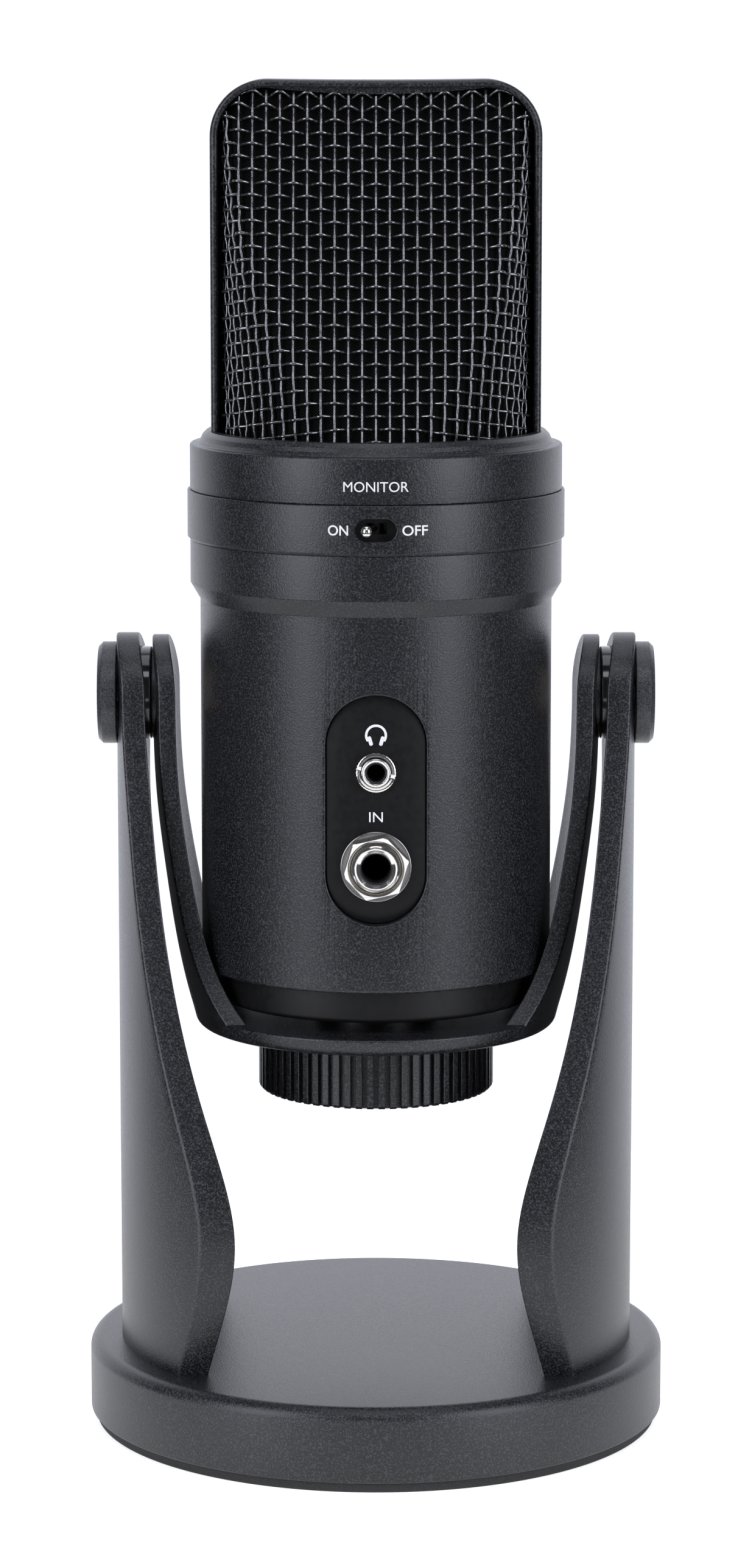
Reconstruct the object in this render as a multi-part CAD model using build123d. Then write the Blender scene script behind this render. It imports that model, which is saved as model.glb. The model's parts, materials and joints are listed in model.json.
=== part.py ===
from build123d import *
import os
from math import asin, cos, degrees, radians, sin, sqrt

# Desktop microphone on a tilting yoke stand. Millimetres, +Z up, origin at the
# centre of the base on the table. The jack panel faces -Y, the control panel
# faces +Y, and the tilt axis runs along X.

# ---- stand -------------------------------------------------------------------
BASE_R = 60.0
BASE_TOP = 17.4
BASE_EDGE = 2.6
PAD_R = 58.8
PAD_H = 2.15
WEIGHT_R = 44.0
WEIGHT_TOP = 11.0
ARM_RO = 53.4
ARM_RI = 48.7
ARM_TOP_R = 12.4
ARM_BELLY_Z = 47.0
ARM_FRONT = (35.0, 39.8, 33.6, 21.6, 16.2)
ARM_REAR = (34.5, 33.4, 25.2, 15.4, 12.0)
ARM_SCREW_Y = 20.0
PIVOT_Z = 152.9

# ---- screws ------------------------------------------------------------------
SCREW_R = 1.5
SCREW_HEAD_R = 2.75
SCREW_HEAD_LOW = 3.2
SCREW_HEAD_TOP = 6.2
ARM_SCREW_TOP = 29.0
WEIGHT_SCREW_RING = 30.0
BOSS_SCREW_RING = 15.2
BOSS_SCREW_R = 1.2
CHASSIS_SCREW_RING = 26.0

# ---- tilt pivot --------------------------------------------------------------
BOLT_R = 2.95
BOLT_BORE_R = 3.0
BOLT_IN = 42.6
WASHER_R = 9.6
WASHER_IN = 46.1
KNOB_R = 10.5
KNOB_IN = 53.2
KNOB_OUT = 57.1
KNOB_SEAT = 52.9
INSERT_R = 4.3

# ---- yoke --------------------------------------------------------------------
YOKE_R = 46.0
YOKE_WALL = 3.4
YOKE_TOP_R = 12.0
YOKE_FLOOR_LOW = 83.9
YOKE_FLOOR_TOP = 87.5
YOKE_FLOOR_R = 38.0

# ---- lock ring and mounting boss --------------------------------------------
RING_R = 24.4
RING_LOW = 70.2
RING_TOP = 83.7
RING_RIBS = 64
RING_GROOVE_W = 1.05
RING_GROOVE_D = 1.2
BOSS_R = 11.0
BOSS_BORE_R = 11.05
BOSS_COLLAR_R = 12.5
BOSS_HOLLOW_R = 9.0
BOSS_LOW = 71.0

# ---- microphone body ---------------------------------------------------------
BODY_R = 36.1
BODY_WALL = 2.5
BODY_LOW = 96.6
BEVEL_LOW = 172.8
BEVEL_TOP = 176.2
COLLAR_R = 38.1
COLLAR_WALL = 2.9
MID_RING_R = 38.65
MID_RING_LOW = 185.2
MID_RING_TOP = 195.3
COLLAR_TOP = 204.6
LIP_TOP = 207.3
CAP_R = 33.4
CAP_LOW = 90.0
CAP_FLOOR = 92.5
FLANGE_TOP = 94.5

# ---- panels ------------------------------------------------------------------
PANEL_HALF = 10.1
PANEL_LOW = 110.6
PANEL_TOP = 157.2
PANEL_FACE = 34.0
PANEL_BACK = 31.0
PANEL_FLANGE_BACK = 29.5
INSTRUMENT_Z = 122.4
INSTRUMENT_HOLE_R = 3.25
INSTRUMENT_THREAD_R = 4.75
HEADPHONE_Z = 141.6
HEADPHONE_HOLE_R = 1.8
HEADPHONE_THREAD_R = 2.9
NUT_SLOT_TURN = 14.0
POT_HEIGHTS = {"instrument_level": 121.0, "mic_level": 135.4, "volume": 149.8}
POT_KNOB_R = 5.6
POT_KNOB_IN = 34.8
POT_KNOB_OUT = 38.2
POT_SHAFT_R = 2.95
POT_BORE_R = 3.0

# ---- monitor switch, mute button, pattern slider -----------------------------
SWITCH_Z = 190.4
SWITCH_SLOT = (8.1, 4.5)
LEVER_PIVOT_Y = -32.5
LEVER_LENGTH = 7.92
LEVER_TIP_X = -1.85
LEVER_TIP_R = 1.15
MUTE_R = 3.4
LED_R = 1.1
LED_Z = 200.2
PATTERN_Z = 180.8
PATTERN_SLOT = (11.0, 3.2)

# ---- inner frame and boards --------------------------------------------------
BOARD_T = 1.6
JACK_BOARD_X = 8.0
CONTROL_BOARD_Y = 20.0
RAIL_X = (28.6, 31.4)
CHASSIS_LOW = 99.1
CHASSIS_FOOT_TOP = 102.4
CHASSIS_TOP = 199.4

# ---- head --------------------------------------------------------------------
HEAD_TOP = 278.2
HEAD_HALF = 33.5
HEAD_CORNER = 11.5
HEAD_WALL = 1.4
HEAD_DEPTH = 8.0
HEAD_STEP = 1.1
HEAD_LOW = 203.0
MESH_R = 32.0
MESH_T = 1.2
MESH_FOOT_Y = 31.5
MESH_FOOT_Z = 209.0
MESH_SLOPE = 0.371
MESH_TOP_MID = 275.1
MESH_TOP_SIDE = 276.4
LINER_GAP = 0.3
LINER_T = 0.4
CAPSULE_Z = 240.0
CAPSULE_R = 12.7

BASE_ALIGN = (Align.CENTER, Align.CENTER, Align.MIN)


def rod_z(radius, low, high, x=0.0, y=0.0):
    """Upright cylinder."""
    return Pos(x, y, low) * Cylinder(radius, high - low, align=BASE_ALIGN)


def rod_x(radius, start, end, y=0.0, z=0.0):
    """Cylinder along X."""
    return Pos(start, y, z) * Rot(0, 90, 0) * Cylinder(radius, end - start, align=BASE_ALIGN)


def rod_y(radius, start, end, x=0.0, z=0.0):
    """Cylinder along Y."""
    return Pos(x, start, z) * Rot(-90, 0, 0) * Cylinder(radius, end - start, align=BASE_ALIGN)


def block(x_span, y_span, z_span):
    """Box between two corners."""
    size = [span[1] - span[0] for span in (x_span, y_span, z_span)]
    middle = [(span[0] + span[1]) / 2 for span in (x_span, y_span, z_span)]
    return Pos(*middle) * Box(*size)


def turned(points):
    """Solid of revolution about Z of a polygon given as (radius, height)."""
    return revolve(Plane.XZ * make_face(Polyline(*points, close=True)), Axis.Z)


def obround_y(length, width, y_span, middle_z, upright=True):
    """Round-ended bar along Y, long way up or long way across."""
    turn = 90 if upright else 0
    sketch = Rot(0, 0, turn) * SlotOverall(length, width)
    bar = extrude(Plane.XZ * sketch, y_span[1] - y_span[0])
    return Pos(0, y_span[1], middle_z) * bar


def mirrored(shape):
    """The same piece on the other side of the tilt plane."""
    return mirror(shape, Plane.YZ)


def spot(radius, turn):
    """Place on a circle round the axis, turn in degrees from +X."""
    return radius * cos(radians(turn)), radius * sin(radians(turn))


def three_spots(radius, start):
    """Three evenly spaced places round the axis."""
    return [spot(radius, start + turn) for turn in (0, 120, 240)]


def arm_screw_spots():
    """Screw centres under the arm feet, on the arms' middle radius."""
    radius = (ARM_RO + ARM_RI) / 2
    angle = degrees(asin(ARM_SCREW_Y / radius))
    return [spot(radius, turn) for turn in (angle, -angle, 180 - angle, 180 + angle)]


WEIGHT_SCREWS = three_spots(WEIGHT_SCREW_RING, 90)
BOSS_SCREWS = three_spots(BOSS_SCREW_RING, 90)
CHASSIS_SCREWS = three_spots(CHASSIS_SCREW_RING, 30)


# ---- stand -------------------------------------------------------------------

def base_casting():
    """Round base, hollow below for the weight, with screw pockets under the arms."""
    body = rod_z(BASE_R, PAD_H, BASE_TOP)
    body = fillet(body.edges().group_by(Axis.Z)[-1], BASE_EDGE)
    body = chamfer(body.edges().group_by(Axis.Z)[0], 0.6)
    body -= rod_z(WEIGHT_R + 0.2, 0, WEIGHT_TOP)
    for x, y in arm_screw_spots():
        body -= rod_z(SCREW_HEAD_R + 0.1, 0, SCREW_HEAD_TOP, x, y)
        body -= rod_z(SCREW_R, SCREW_HEAD_TOP, BASE_TOP + 1, x, y)
    for x, y in WEIGHT_SCREWS:
        body -= rod_z(SCREW_R, WEIGHT_TOP, WEIGHT_TOP + 4.2, x, y)
    return body


def base_weight():
    """Steel disc that keeps the stand from tipping."""
    disc = rod_z(WEIGHT_R, PAD_H + 0.4, WEIGHT_TOP)
    for x, y in WEIGHT_SCREWS:
        disc -= rod_z(SCREW_HEAD_R + 0.1, 0, SCREW_HEAD_TOP, x, y)
        disc -= rod_z(SCREW_R, SCREW_HEAD_TOP, WEIGHT_TOP + 1, x, y)
    return disc


def base_pad():
    """Foam rubber disc under the base."""
    pad = rod_z(PAD_R, 0, PAD_H)
    return chamfer(pad.edges().group_by(Axis.Z)[0], 0.4)


def cap_screw(x, y, top):
    """Screw with its head below and its shank up."""
    screw = rod_z(SCREW_HEAD_R, SCREW_HEAD_LOW, SCREW_HEAD_TOP, x, y)
    screw += rod_z(SCREW_R, SCREW_HEAD_TOP, top, x, y)
    return screw - rod_z(1.25, SCREW_HEAD_LOW, SCREW_HEAD_LOW + 1.6, x, y)


def arm_edge(foot, belly, waist, neck, throat):
    """Edge of an upright, from its foot to its crown, given by distances from the arm's middle."""
    points = [(foot, BASE_TOP), (belly, ARM_BELLY_Z), (waist, 74.0), (neck, 113.0), (throat, 135.0)]
    return Spline(*points, (ARM_TOP_R, PIVOT_Z), tangents=[(0.25, 1.0), (-0.08, 1.0)])


def stand_arm():
    """Upright that is a slice of a tube: wide and bellied low, round at the pivot, fuller in front."""
    rear = arm_edge(*ARM_REAR)
    front = mirror(arm_edge(*ARM_FRONT), Plane.YZ)
    crown = ThreePointArc((ARM_TOP_R, PIVOT_Z), (0, PIVOT_Z + ARM_TOP_R), (-ARM_TOP_R, PIVOT_Z))
    foot = Line((-ARM_FRONT[0], BASE_TOP), (ARM_REAR[0], BASE_TOP))
    outline = make_face([rear, crown, front, foot])
    tube = rod_z(ARM_RO, 0, 180) - rod_z(ARM_RI, -1, 181)
    arm = tube & extrude(Plane.YZ * outline, BASE_R)
    arm -= rod_x(BOLT_BORE_R, 40, 60, z=PIVOT_Z)
    arm -= rod_x(KNOB_R + 0.3, KNOB_SEAT, 60, z=PIVOT_Z)
    arm -= rod_x(WASHER_R + 0.1, 40, ARM_RI, z=PIVOT_Z)
    for x, y in arm_screw_spots():
        arm -= rod_z(SCREW_R, 0, ARM_SCREW_TOP, x, y)
    return arm


# ---- tilt pivot --------------------------------------------------------------
def pivot_knob():
    """Round clamp knob with a chamfered rim and a dished face."""
    knob = rod_x(KNOB_R, KNOB_IN, KNOB_OUT, z=PIVOT_Z)
    knob = chamfer(knob.edges().group_by(Axis.X)[-1], 0.9)
    knob -= rod_x(KNOB_R - 2.2, KNOB_OUT - 0.5, KNOB_OUT + 1, z=PIVOT_Z)
    return knob - rod_x(BOLT_R, KNOB_IN - 1, KNOB_IN + 2.2, z=PIVOT_Z)


def pivot_bolt():
    """Stud fixed in the knob, through arm and washer into the yoke's insert."""
    return rod_x(BOLT_R, BOLT_IN, KNOB_IN + 2.2, z=PIVOT_Z)


def pivot_washer():
    """Smooth plastic friction washer between arm and yoke."""
    washer = rod_x(WASHER_R, WASHER_IN, ARM_RI, z=PIVOT_Z)
    washer = fillet(washer.edges().group_by(Axis.X)[0], 0.3)
    return washer - rod_x(BOLT_BORE_R, 40, 60, z=PIVOT_Z)


# ---- yoke --------------------------------------------------------------------
def yoke_shell(inset):
    """Bowl about Z whose wall closes in towards its floor, inset from the outside."""
    bowl = [
        (YOKE_R, 170.0),
        (YOKE_R, PIVOT_Z),
        (45.35, 132.0),
        (43.5, 116.0),
        (41.2, 101.0),
        (YOKE_FLOOR_R, YOKE_FLOOR_TOP),
    ]
    points = [(radius - inset, height) for radius, height in bowl]
    wall = Spline(*points[1:], tangents=[(0, -1), (-0.3, -1)])
    edges = [
        Line((0, 170.0), points[0]),
        Line(points[0], points[1]),
        wall,
        Line(points[-1], (0, YOKE_FLOOR_TOP)),
        Line((0, YOKE_FLOOR_TOP), (0, 170.0)),
    ]
    return revolve(Plane.XZ * make_face(edges), Axis.Z)


def yoke():
    """Cradle with a round floor and two arms that carry the pivot inserts."""
    side = [
        (YOKE_TOP_R, PIVOT_Z),
        (13.4, 122.0),
        (16.2, 102.0),
        (22.5, YOKE_FLOOR_TOP),
    ]
    right = Spline(*side, tangents=[(0.0, -1.0), (0.55, -1.0)])
    left = mirror(right, Plane.YZ)
    crown = ThreePointArc((YOKE_TOP_R, PIVOT_Z), (0, PIVOT_Z + YOKE_TOP_R), (-YOKE_TOP_R, PIVOT_Z))
    foot = Line((-22.5, YOKE_FLOOR_TOP), (22.5, YOKE_FLOOR_TOP))
    outline = make_face([right, crown, left, foot])
    arms = yoke_shell(0) - yoke_shell(YOKE_WALL)
    arms &= extrude(Plane.YZ * outline, 50, both=True)
    boss = rod_x(WASHER_R, -YOKE_R, YOKE_R, z=PIVOT_Z) - rod_z(YOKE_R - 2.6, 140, 170)
    low_r = YOKE_FLOOR_R - 0.9
    floor = turned([
        (0, YOKE_FLOOR_LOW),
        (low_r, YOKE_FLOOR_LOW),
        (YOKE_FLOOR_R, YOKE_FLOOR_TOP),
        (0, YOKE_FLOOR_TOP),
    ])
    floor = fillet(floor.edges().group_by(Axis.Z)[0], 2.2)
    cradle = arms + boss + floor
    cradle -= rod_z(BOSS_BORE_R, 80, 90)
    return cradle - rod_x(INSERT_R, -50, 50, z=PIVOT_Z)


def pivot_insert():
    """Brass threaded insert in the yoke arm."""
    insert = rod_x(INSERT_R, YOKE_R - YOKE_WALL, YOKE_R, z=PIVOT_Z)
    return insert - rod_x(BOLT_BORE_R, 40, 50, z=PIVOT_Z)


# ---- lock ring and mounting boss --------------------------------------------
def lock_ring():
    """Ribbed ring nut under the yoke that clamps the microphone in it."""
    ring = rod_z(RING_R, RING_LOW, RING_TOP)
    ring = chamfer(ring.edges(), 0.5)
    ring -= rod_z(19.5, RING_LOW - 1, RING_LOW + 2.0) - rod_z(14.0, RING_LOW - 1, RING_LOW + 2.0)
    depth = (RING_R - RING_GROOVE_D, RING_R + 1)
    width = (-RING_GROOVE_W / 2, RING_GROOVE_W / 2)
    groove = block(depth, width, (RING_LOW - 1, RING_TOP + 1))
    grooves = [Rot(0, 0, 360 * i / RING_RIBS) * groove for i in range(RING_RIBS)]
    ring -= grooves
    return ring - rod_z(BOSS_BORE_R, RING_LOW - 1, RING_TOP + 1)


def mount_boss():
    """Hollow threaded spigot with a shoulder that stands on the yoke's floor."""
    boss = rod_z(BOSS_R, BOSS_LOW, YOKE_FLOOR_TOP + 0.1)
    boss += rod_z(BOSS_COLLAR_R, YOKE_FLOOR_TOP + 0.1, CAP_FLOOR)
    boss += rod_z(18.0, CAP_FLOOR, FLANGE_TOP)
    boss -= rod_z(BOSS_HOLLOW_R, BOSS_LOW - 1, FLANGE_TOP + 1)
    for x, y in BOSS_SCREWS:
        boss -= rod_z(BOSS_SCREW_R + 0.1, CAP_FLOOR - 1, FLANGE_TOP + 1, x, y)
    return boss


def boss_screw(x, y):
    """Small screw that holds the spigot's flange to the bottom cap."""
    return rod_z(BOSS_SCREW_R, 90.8, FLANGE_TOP, x, y) + rod_z(2.2, FLANGE_TOP, FLANGE_TOP + 1.5, x, y)


def bottom_cap():
    """Black plastic cap that closes the body below."""
    inner = CAP_R - 2.4
    cap = turned([
        (0, CAP_LOW),
        (CAP_R, CAP_LOW),
        (CAP_R, CHASSIS_LOW - 0.1),
        (inner, CHASSIS_LOW - 0.1),
        (inner, CAP_FLOOR),
        (0, CAP_FLOOR),
    ])
    cap = fillet(cap.edges().group_by(Axis.Z)[0], 1.2)
    cap -= rod_z(BOSS_COLLAR_R, CAP_LOW - 1, CAP_FLOOR + 1)
    for x, y in BOSS_SCREWS:
        cap -= rod_z(BOSS_SCREW_R, 90.8, CAP_FLOOR + 1, x, y)
    for x, y in CHASSIS_SCREWS:
        cap -= rod_z(2.8, CAP_LOW - 1, CAP_LOW + 1.2, x, y)
        cap -= rod_z(SCREW_R + 0.1, CAP_LOW, CAP_FLOOR + 1, x, y)
    return cap


def chassis_screw(x, y):
    """Screw up through the bottom cap into the chassis."""
    head_top = CAP_LOW + 1.2
    return rod_z(2.6, CAP_LOW + 0.2, head_top, x, y) + rod_z(SCREW_R, head_top, 100.0, x, y)


# ---- body shells -------------------------------------------------------------
def panel_opening(side):
    """Round-ended window through the body wall; side is -1 or +1 along Y."""
    span = (-45, -20) if side < 0 else (20, 45)
    height = PANEL_TOP - PANEL_LOW
    return obround_y(height, 2 * PANEL_HALF, span, (PANEL_TOP + PANEL_LOW) / 2)


def body_shell():
    """Cast tube with a bevelled shoulder and a window for each panel."""
    inner = BODY_R - BODY_WALL
    wide = COLLAR_R - COLLAR_WALL
    shell = turned([
        (inner, BODY_LOW),
        (BODY_R - 0.8, BODY_LOW),
        (BODY_R, BODY_LOW + 0.8),
        (BODY_R, BEVEL_LOW),
        (COLLAR_R, BEVEL_TOP),
        (COLLAR_R, MID_RING_LOW - 0.25),
        (COLLAR_R - 0.25, MID_RING_LOW),
        (wide, MID_RING_LOW),
        (wide, BEVEL_TOP + 0.4),
        (inner, BEVEL_LOW + 0.4),
    ])
    shell -= panel_opening(-1)
    shell -= panel_opening(1)
    return shell - obround_y(*PATTERN_SLOT, (25, 45), PATTERN_Z, upright=False)


def control_ring():
    """Slightly proud middle band with the switch slot and the button hole."""
    inner = COLLAR_R - COLLAR_WALL
    ring = turned([
        (inner, MID_RING_LOW),
        (MID_RING_R - 0.5, MID_RING_LOW),
        (MID_RING_R, MID_RING_LOW + 0.5),
        (MID_RING_R, MID_RING_TOP - 0.3),
        (MID_RING_R - 0.3, MID_RING_TOP),
        (inner, MID_RING_TOP),
    ])
    ring -= obround_y(*SWITCH_SLOT, (-45, -25), SWITCH_Z, upright=False)
    return ring - rod_y(MUTE_R + 0.25, 25, 45, z=SWITCH_Z)


def head_collar():
    """Top band with a ledge and a raised lip that the head stands in."""
    inner = COLLAR_R - COLLAR_WALL
    lip_r = MESH_R + 0.5
    collar = turned([
        (inner, MID_RING_TOP),
        (COLLAR_R - 0.25, MID_RING_TOP),
        (COLLAR_R, MID_RING_TOP + 0.25),
        (COLLAR_R, COLLAR_TOP - 0.6),
        (COLLAR_R - 0.5, COLLAR_TOP - 0.1),
        (36.6, COLLAR_TOP + 0.1),
        (35.9, COLLAR_TOP + 0.9),
        (35.5, LIP_TOP - 0.9),
        (34.9, LIP_TOP - 0.2),
        (34.2, LIP_TOP),
        (lip_r, LIP_TOP),
        (lip_r, HEAD_LOW),
        (inner, HEAD_LOW),
    ])
    leg_x = HEAD_HALF + 0.1
    leg_y = HEAD_DEPTH + 0.1
    collar -= block((-leg_x, leg_x), (-leg_y, leg_y), (HEAD_LOW - 1, LIP_TOP + 1))
    return collar - rod_y(LED_R, 25, 45, z=LED_Z)


# ---- jack panel --------------------------------------------------------------
def panel_plate(side):
    """Flat inset panel with a flange behind the body wall."""
    middle = (PANEL_TOP + PANEL_LOW) / 2
    height = PANEL_TOP - PANEL_LOW
    face = sorted((side * PANEL_FACE, side * PANEL_BACK))
    flange = sorted((side * PANEL_BACK, side * PANEL_FLANGE_BACK))
    plate = obround_y(height - 0.3, 2 * PANEL_HALF - 0.3, face, middle)
    return plate + obround_y(height + 3.6, 2 * PANEL_HALF + 3.6, flange, middle)


def jack_panel():
    """Panel on the -Y side with holes for the two sockets."""
    plate = panel_plate(-1)
    plate -= rod_y(INSTRUMENT_THREAD_R + 0.1, -40, -20, z=INSTRUMENT_Z)
    return plate - rod_y(HEADPHONE_THREAD_R + 0.1, -40, -20, z=HEADPHONE_Z)


def instrument_jack():
    """6.35 mm socket: threaded bushing in front of a moulded housing."""
    jack = block((-7.75, 7.75), (-PANEL_FLANGE_BACK, -5.0), (INSTRUMENT_Z - 8.5, INSTRUMENT_Z + 8.5))
    jack += rod_y(INSTRUMENT_THREAD_R, -38.0, -PANEL_FLANGE_BACK, z=INSTRUMENT_Z)
    jack = chamfer(jack.edges().filter_by(GeomType.CIRCLE).group_by(Axis.Y)[0], 0.35)
    return jack - rod_y(INSTRUMENT_HOLE_R, -40, -6.0, z=INSTRUMENT_Z)


def instrument_washer():
    """Flat washer under the hex nut."""
    washer = rod_y(7.15, -PANEL_FACE - 0.8, -PANEL_FACE, z=INSTRUMENT_Z)
    washer = chamfer(washer.edges().group_by(Axis.Y)[0], 0.2)
    return washer - rod_y(INSTRUMENT_THREAD_R, -40, -30, z=INSTRUMENT_Z)


def instrument_nut():
    """Hex nut with chamfered corners, left at the angle it was tightened to."""
    across_flats = 11.6
    low = -PANEL_FACE - 3.2
    high = -PANEL_FACE - 0.8
    hexagon = Rot(0, 0, 12) * RegularPolygon(across_flats / 2, 6, major_radius=False)
    nut = Pos(0, high, INSTRUMENT_Z) * extrude(Plane.XZ * hexagon, high - low)
    corner_r = across_flats / sqrt(3)
    cone = Pos(0, low, INSTRUMENT_Z) * Rot(-90, 0, 0) * Cone(
        corner_r - 0.7, corner_r - 0.7 + 3 * (high - low), high - low, align=BASE_ALIGN
    )
    nut &= cone
    return nut - rod_y(INSTRUMENT_THREAD_R, -40, -30, z=INSTRUMENT_Z)


def headphone_jack():
    """3.5 mm socket with a threaded bushing, on the jack board."""
    jack = block((-5.0, JACK_BOARD_X), (-PANEL_FLANGE_BACK, -15.5), (HEADPHONE_Z - 5, HEADPHONE_Z + 5))
    jack += rod_y(HEADPHONE_THREAD_R, -36.2, -PANEL_FLANGE_BACK, z=HEADPHONE_Z)
    jack = chamfer(jack.edges().filter_by(GeomType.CIRCLE).group_by(Axis.Y)[0], 0.3)
    return jack - rod_y(HEADPHONE_HOLE_R, -40, -17.0, z=HEADPHONE_Z)


def headphone_nut():
    """Knurled ring nut with two spanner slots."""
    radius = 4.03
    teeth = 36
    low = -PANEL_FACE - 1.7
    nut = rod_y(radius, low, -PANEL_FACE, z=HEADPHONE_Z)
    nut = chamfer(nut.edges().group_by(Axis.Y)[0], 0.3)
    tooth_gap = Pos(radius + 0.12, 0, 0) * Rot(0, 0, 45) * Box(0.34, 0.34, 8)
    gaps = [Rot(0, 0, 360 * i / teeth) * tooth_gap for i in range(teeth)]
    nut -= [Pos(0, -PANEL_FACE, HEADPHONE_Z) * Rot(-90, 0, 0) * gap for gap in gaps]
    slot = block((-radius - 1, radius + 1), (low - 1, low + 0.7), (-0.45, 0.45))
    nut -= Pos(0, 0, HEADPHONE_Z) * Rot(0, NUT_SLOT_TURN, 0) * slot
    return nut - rod_y(HEADPHONE_THREAD_R, -40, -30, z=HEADPHONE_Z)


def jack_board():
    """Small circuit board that both sockets are soldered to."""
    return block((JACK_BOARD_X, JACK_BOARD_X + BOARD_T), (-29.0, -3.0), (110.0, 158.0))


# ---- control panel -----------------------------------------------------------

def control_panel():
    """Panel on the +Y side with holes for the three level controls."""
    plate = panel_plate(1)
    for height in POT_HEIGHTS.values():
        plate -= rod_y(3.7, 20, 40, z=height)
    return plate


def potentiometer(height):
    """Rotary control soldered to the control board."""
    pot = block((-5.5, 5.5), (CONTROL_BOARD_Y + BOARD_T, 28.6), (height - 5.5, height + 5.5))
    pot += rod_y(3.6, 28.6, 33.4, z=height)
    return pot - rod_y(POT_BORE_R, 23.0, 40, z=height)


def level_knob(height):
    """Fluted knob with a pointer groove, moulded on its shaft."""
    knob = rod_y(POT_KNOB_R, POT_KNOB_IN, POT_KNOB_OUT, z=height)
    knob = fillet(knob.edges().group_by(Axis.Y)[-1], 0.7)
    flute = Pos(POT_KNOB_R + 0.25, 0, 0) * Cylinder(0.55, 12, align=BASE_ALIGN)
    for i in range(24):
        knob -= Pos(0, POT_KNOB_IN + 1.4, height) * Rot(-90, 0, 0) * Rot(0, 0, 7.5 + 15 * i) * flute
    knob -= block((-0.4, 0.4), (POT_KNOB_OUT - 0.6, POT_KNOB_OUT + 1), (height + 1.5, height + 7))
    return knob + rod_y(POT_SHAFT_R, 23.4, POT_KNOB_IN + 0.2, z=height)


def control_board():
    """Circuit board behind the level controls."""
    return block((-14.0, 14.0), (CONTROL_BOARD_Y, CONTROL_BOARD_Y + BOARD_T), (108.0, 184.0))


# ---- switches in the bands ---------------------------------------------------

def lever_rest_angle():
    """How far the lever leans to -X in its rest position, in degrees."""
    return degrees(asin(-LEVER_TIP_X / LEVER_LENGTH))


def monitor_switch_lever():
    """Toggle lever with a ball tip and a cross barrel that it turns on."""
    shank = rod_y(0.75, -LEVER_LENGTH, 0) + Pos(0, -LEVER_LENGTH, 0) * Sphere(LEVER_TIP_R)
    lever = shank + rod_z(1.5, -1.9, 1.9)
    return Pos(0, LEVER_PIVOT_Y, SWITCH_Z) * Rot(0, 0, -lever_rest_angle()) * lever


def monitor_switch_body():
    """Switch housing behind the slot, open in front for the lever."""
    body = block((-6, 6), (-34.4, -28.0), (SWITCH_Z - 4, SWITCH_Z + 4))
    body -= rod_z(1.55, SWITCH_Z - 2.0, SWITCH_Z + 2.0, 0, LEVER_PIVOT_Y)
    return body - block((-2.2, 2.2), (-36, LEVER_PIVOT_Y), (SWITCH_Z - 1.1, SWITCH_Z + 1.1))


def mute_button():
    """Round push button in the middle band."""
    button = rod_y(MUTE_R, 34.6, 40.2, z=SWITCH_Z)
    button = fillet(button.edges().group_by(Axis.Y)[-1], 0.6)
    return button + rod_y(1.5, 30.9, 34.8, z=SWITCH_Z)


def mute_switch_body():
    """Tact switch behind the mute button."""
    body = block((-4, 4), (24.0, 32.4), (SWITCH_Z - 4, SWITCH_Z + 4))
    return body - rod_y(1.55, 29.0, 34, z=SWITCH_Z)


def status_light():
    """Clear light guide above the mute button."""
    return rod_y(LED_R, 34.9, 38.2, z=LED_Z)


def pattern_slider():
    """Three-position thumb slider, at its middle position."""
    tab = obround_y(4.4, 2.6, (31.3, 39.6), PATTERN_Z, upright=False)
    for x in (-1.0, 0.0, 1.0):
        tab -= block((x - 0.2, x + 0.2), (39.2, 40), (PATTERN_Z - 3, PATTERN_Z + 3))
    return tab


def pattern_switch_body():
    """Slide switch housing with a trough that the slider runs in."""
    body = block((-8, 8), (24.0, 33.0), (PATTERN_Z - 3.6, PATTERN_Z + 3.6))
    return body - block((-5.6, 5.6), (31.0, 34.0), (PATTERN_Z - 1.6, PATTERN_Z + 1.6))


# ---- inner frame, boards and cable socket -------------------------------------

def chassis():
    """Inner frame: two rails between a foot ring and a top ring."""
    frame = rod_z(30.6, CHASSIS_LOW, CHASSIS_FOOT_TOP) - rod_z(23.0, CHASSIS_LOW - 1, CHASSIS_FOOT_TOP + 1)
    for x, y in CHASSIS_SCREWS:
        frame += rod_z(3.4, CAP_FLOOR, CHASSIS_FOOT_TOP, x, y)
        frame -= rod_z(SCREW_R, CAP_FLOOR - 1, 100.0, x, y)
    frame += rod_z(34.4, CHASSIS_TOP - 3.4, CHASSIS_TOP) - rod_z(24.0, CHASSIS_TOP - 5, CHASSIS_TOP + 1)
    for side in (-1, 1):
        rail = sorted((side * RAIL_X[0], side * RAIL_X[1]))
        frame += block(rail, (-6, 6), (CHASSIS_LOW + 1, CHASSIS_TOP - 1))
    return frame


def main_board():
    """Audio and converter circuit board between the rails."""
    return block((-RAIL_X[0], RAIL_X[0]), (-1.8, -0.2), (104.0, 192.0))


def usb_socket():
    """Cable socket that opens downwards inside the spigot."""
    shell = block((-6.0, 6.0), (-5.45, 5.45), (76.5, 96.8))
    mouth = block((-4.22, 4.22), (-3.9, 3.9), (75.0, 86.0))
    tongue = block((-2.8, 2.8), (-1.6, 1.6), (77.5, 86.5))
    return shell - (mouth - tongue)


def usb_board():
    """Board that carries the cable socket."""
    return block((-13.0, 13.0), (-9.0, 9.0), (96.8, 98.4))


def head_floor():
    """Plate that closes the body under the head and carries the capsules."""
    plate = rod_z(34.6, CHASSIS_TOP, HEAD_LOW)
    return plate - rod_z(3.0, CHASSIS_TOP - 1, HEAD_LOW + 1, 12, 0)


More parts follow.
